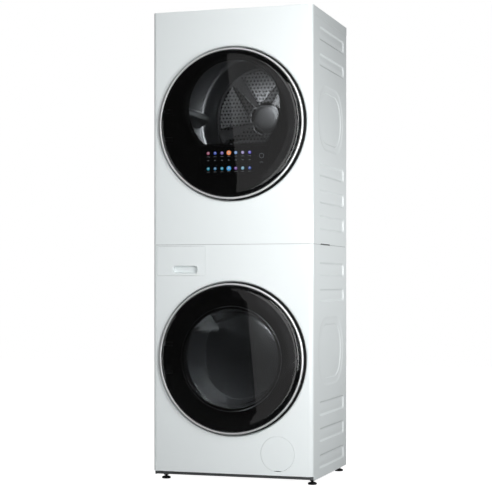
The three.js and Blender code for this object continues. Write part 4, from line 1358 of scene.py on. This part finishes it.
class LAUNDRY_OT_stage(bpy.types.Operator):
    """Set the floor, the studio light and the camera"""

    bl_idname = "laundry.stage"
    bl_label = "Stage"

    def execute(self, context):
        scene = context.scene
        floor = start("studio_floor")
        bpy.ops.mesh.primitive_plane_add(size=14.0, location=(0, 0, -1 * MM))
        bpy.ops.mesh.subdivide(number_cuts=3)
        close(floor, (0, 0, 1))
        sweep = surfaced(
            "studio floor", (0.6, 0.6, 0.6), 0.7, drift=0.985, grain=300.0,
            Emission_Color=(1, 1, 1, 1), Specular_IOR_Level=0.0,
        )
        ray = sweep.node_tree.nodes.new("ShaderNodeLightPath")
        shader = sweep.node_tree.nodes["Principled BSDF"]
        sweep.node_tree.links.new(ray.outputs["Is Camera Ray"], shader.inputs["Emission Strength"])
        floor.data.materials.append(sweep)
        floor.visible_glossy = False
        for values in LIGHTS:
            area_light(*values)
        world = bpy.data.worlds.new("white studio")
        world.use_nodes = True
        scene.world = world
        tree = world.node_tree
        tree.nodes.clear()
        ray = tree.nodes.new("ShaderNodeLightPath")
        seen = shader_node(tree, "ShaderNodeBackground", Color=(1, 1, 1, 1), Strength=1.0)
        lit = shader_node(tree, "ShaderNodeBackground", Color=(0.97, 0.985, 1, 1), Strength=0.15)
        dark = shader_node(tree, "ShaderNodeBackground", Color=(0.06, 0.06, 0.06, 1), Strength=1.0)
        soft = tree.nodes.new("ShaderNodeMixShader")
        final = tree.nodes.new("ShaderNodeMixShader")
        output = tree.nodes.new("ShaderNodeOutputWorld")
        link = tree.links.new
        link(ray.outputs["Is Glossy Ray"], soft.inputs["Fac"])
        link(lit.outputs["Background"], soft.inputs[1])
        link(dark.outputs["Background"], soft.inputs[2])
        link(ray.outputs["Is Camera Ray"], final.inputs["Fac"])
        link(soft.outputs["Shader"], final.inputs[1])
        link(seen.outputs["Background"], final.inputs[2])
        link(final.outputs["Shader"], output.inputs["Surface"])
        scene.view_settings.view_transform = "Standard"
        scene.view_settings.look = "None"
        bpy.ops.object.camera_add(location=CAMERA_PLACE, rotation=(QUARTER, 0, CAMERA_TURN))
        camera = context.object
        camera.name = "studio camera"
        camera.data.lens = CAMERA_LENS
        camera.data.sensor_width = 36.0
        camera.data.shift_x, camera.data.shift_y = CAMERA_SHIFT
        camera.data.clip_end = 60.0
        scene.camera = camera
        return {"FINISHED"}


class LAUNDRY_PT_panel(bpy.types.Panel):
    """The steps that build the stack, in order"""

    bl_label = "Washer Dryer Stack"
    bl_idname = "LAUNDRY_PT_panel"
    bl_space_type = "VIEW_3D"
    bl_region_type = "UI"
    bl_category = "Laundry"

    def draw(self, context):
        layout = self.layout
        for name in StackSizes.__annotations__:
            layout.prop(context.scene.stack_sizes, name)
        for name in StackColours.__annotations__:
            layout.prop(context.scene.stack_colours, name)
        for step in STEPS:
            layout.operator(step.bl_idname)


STEPS = (
    LAUNDRY_OT_finishes, LAUNDRY_OT_stage, LAUNDRY_OT_cabinet, LAUNDRY_OT_doors,
    LAUNDRY_OT_drums, LAUNDRY_OT_controls,
)
CLASSES = (StackSizes, StackColours, *STEPS, LAUNDRY_PT_panel)


def register():
    for cls in CLASSES:
        bpy.utils.register_class(cls)
    bpy.types.Scene.stack_sizes = bpy.props.PointerProperty(type=StackSizes)
    bpy.types.Scene.stack_colours = bpy.props.PointerProperty(type=StackColours)


def unregister():
    del bpy.types.Scene.stack_colours
    del bpy.types.Scene.stack_sizes
    for cls in reversed(CLASSES):
        bpy.utils.unregister_class(cls)


def main():
    """Build every piece."""
    register()
    for step in STEPS:
        area, action = step.bl_idname.split(".")
        getattr(getattr(bpy.ops, area), action)()


if __name__ == "__main__":
    main()
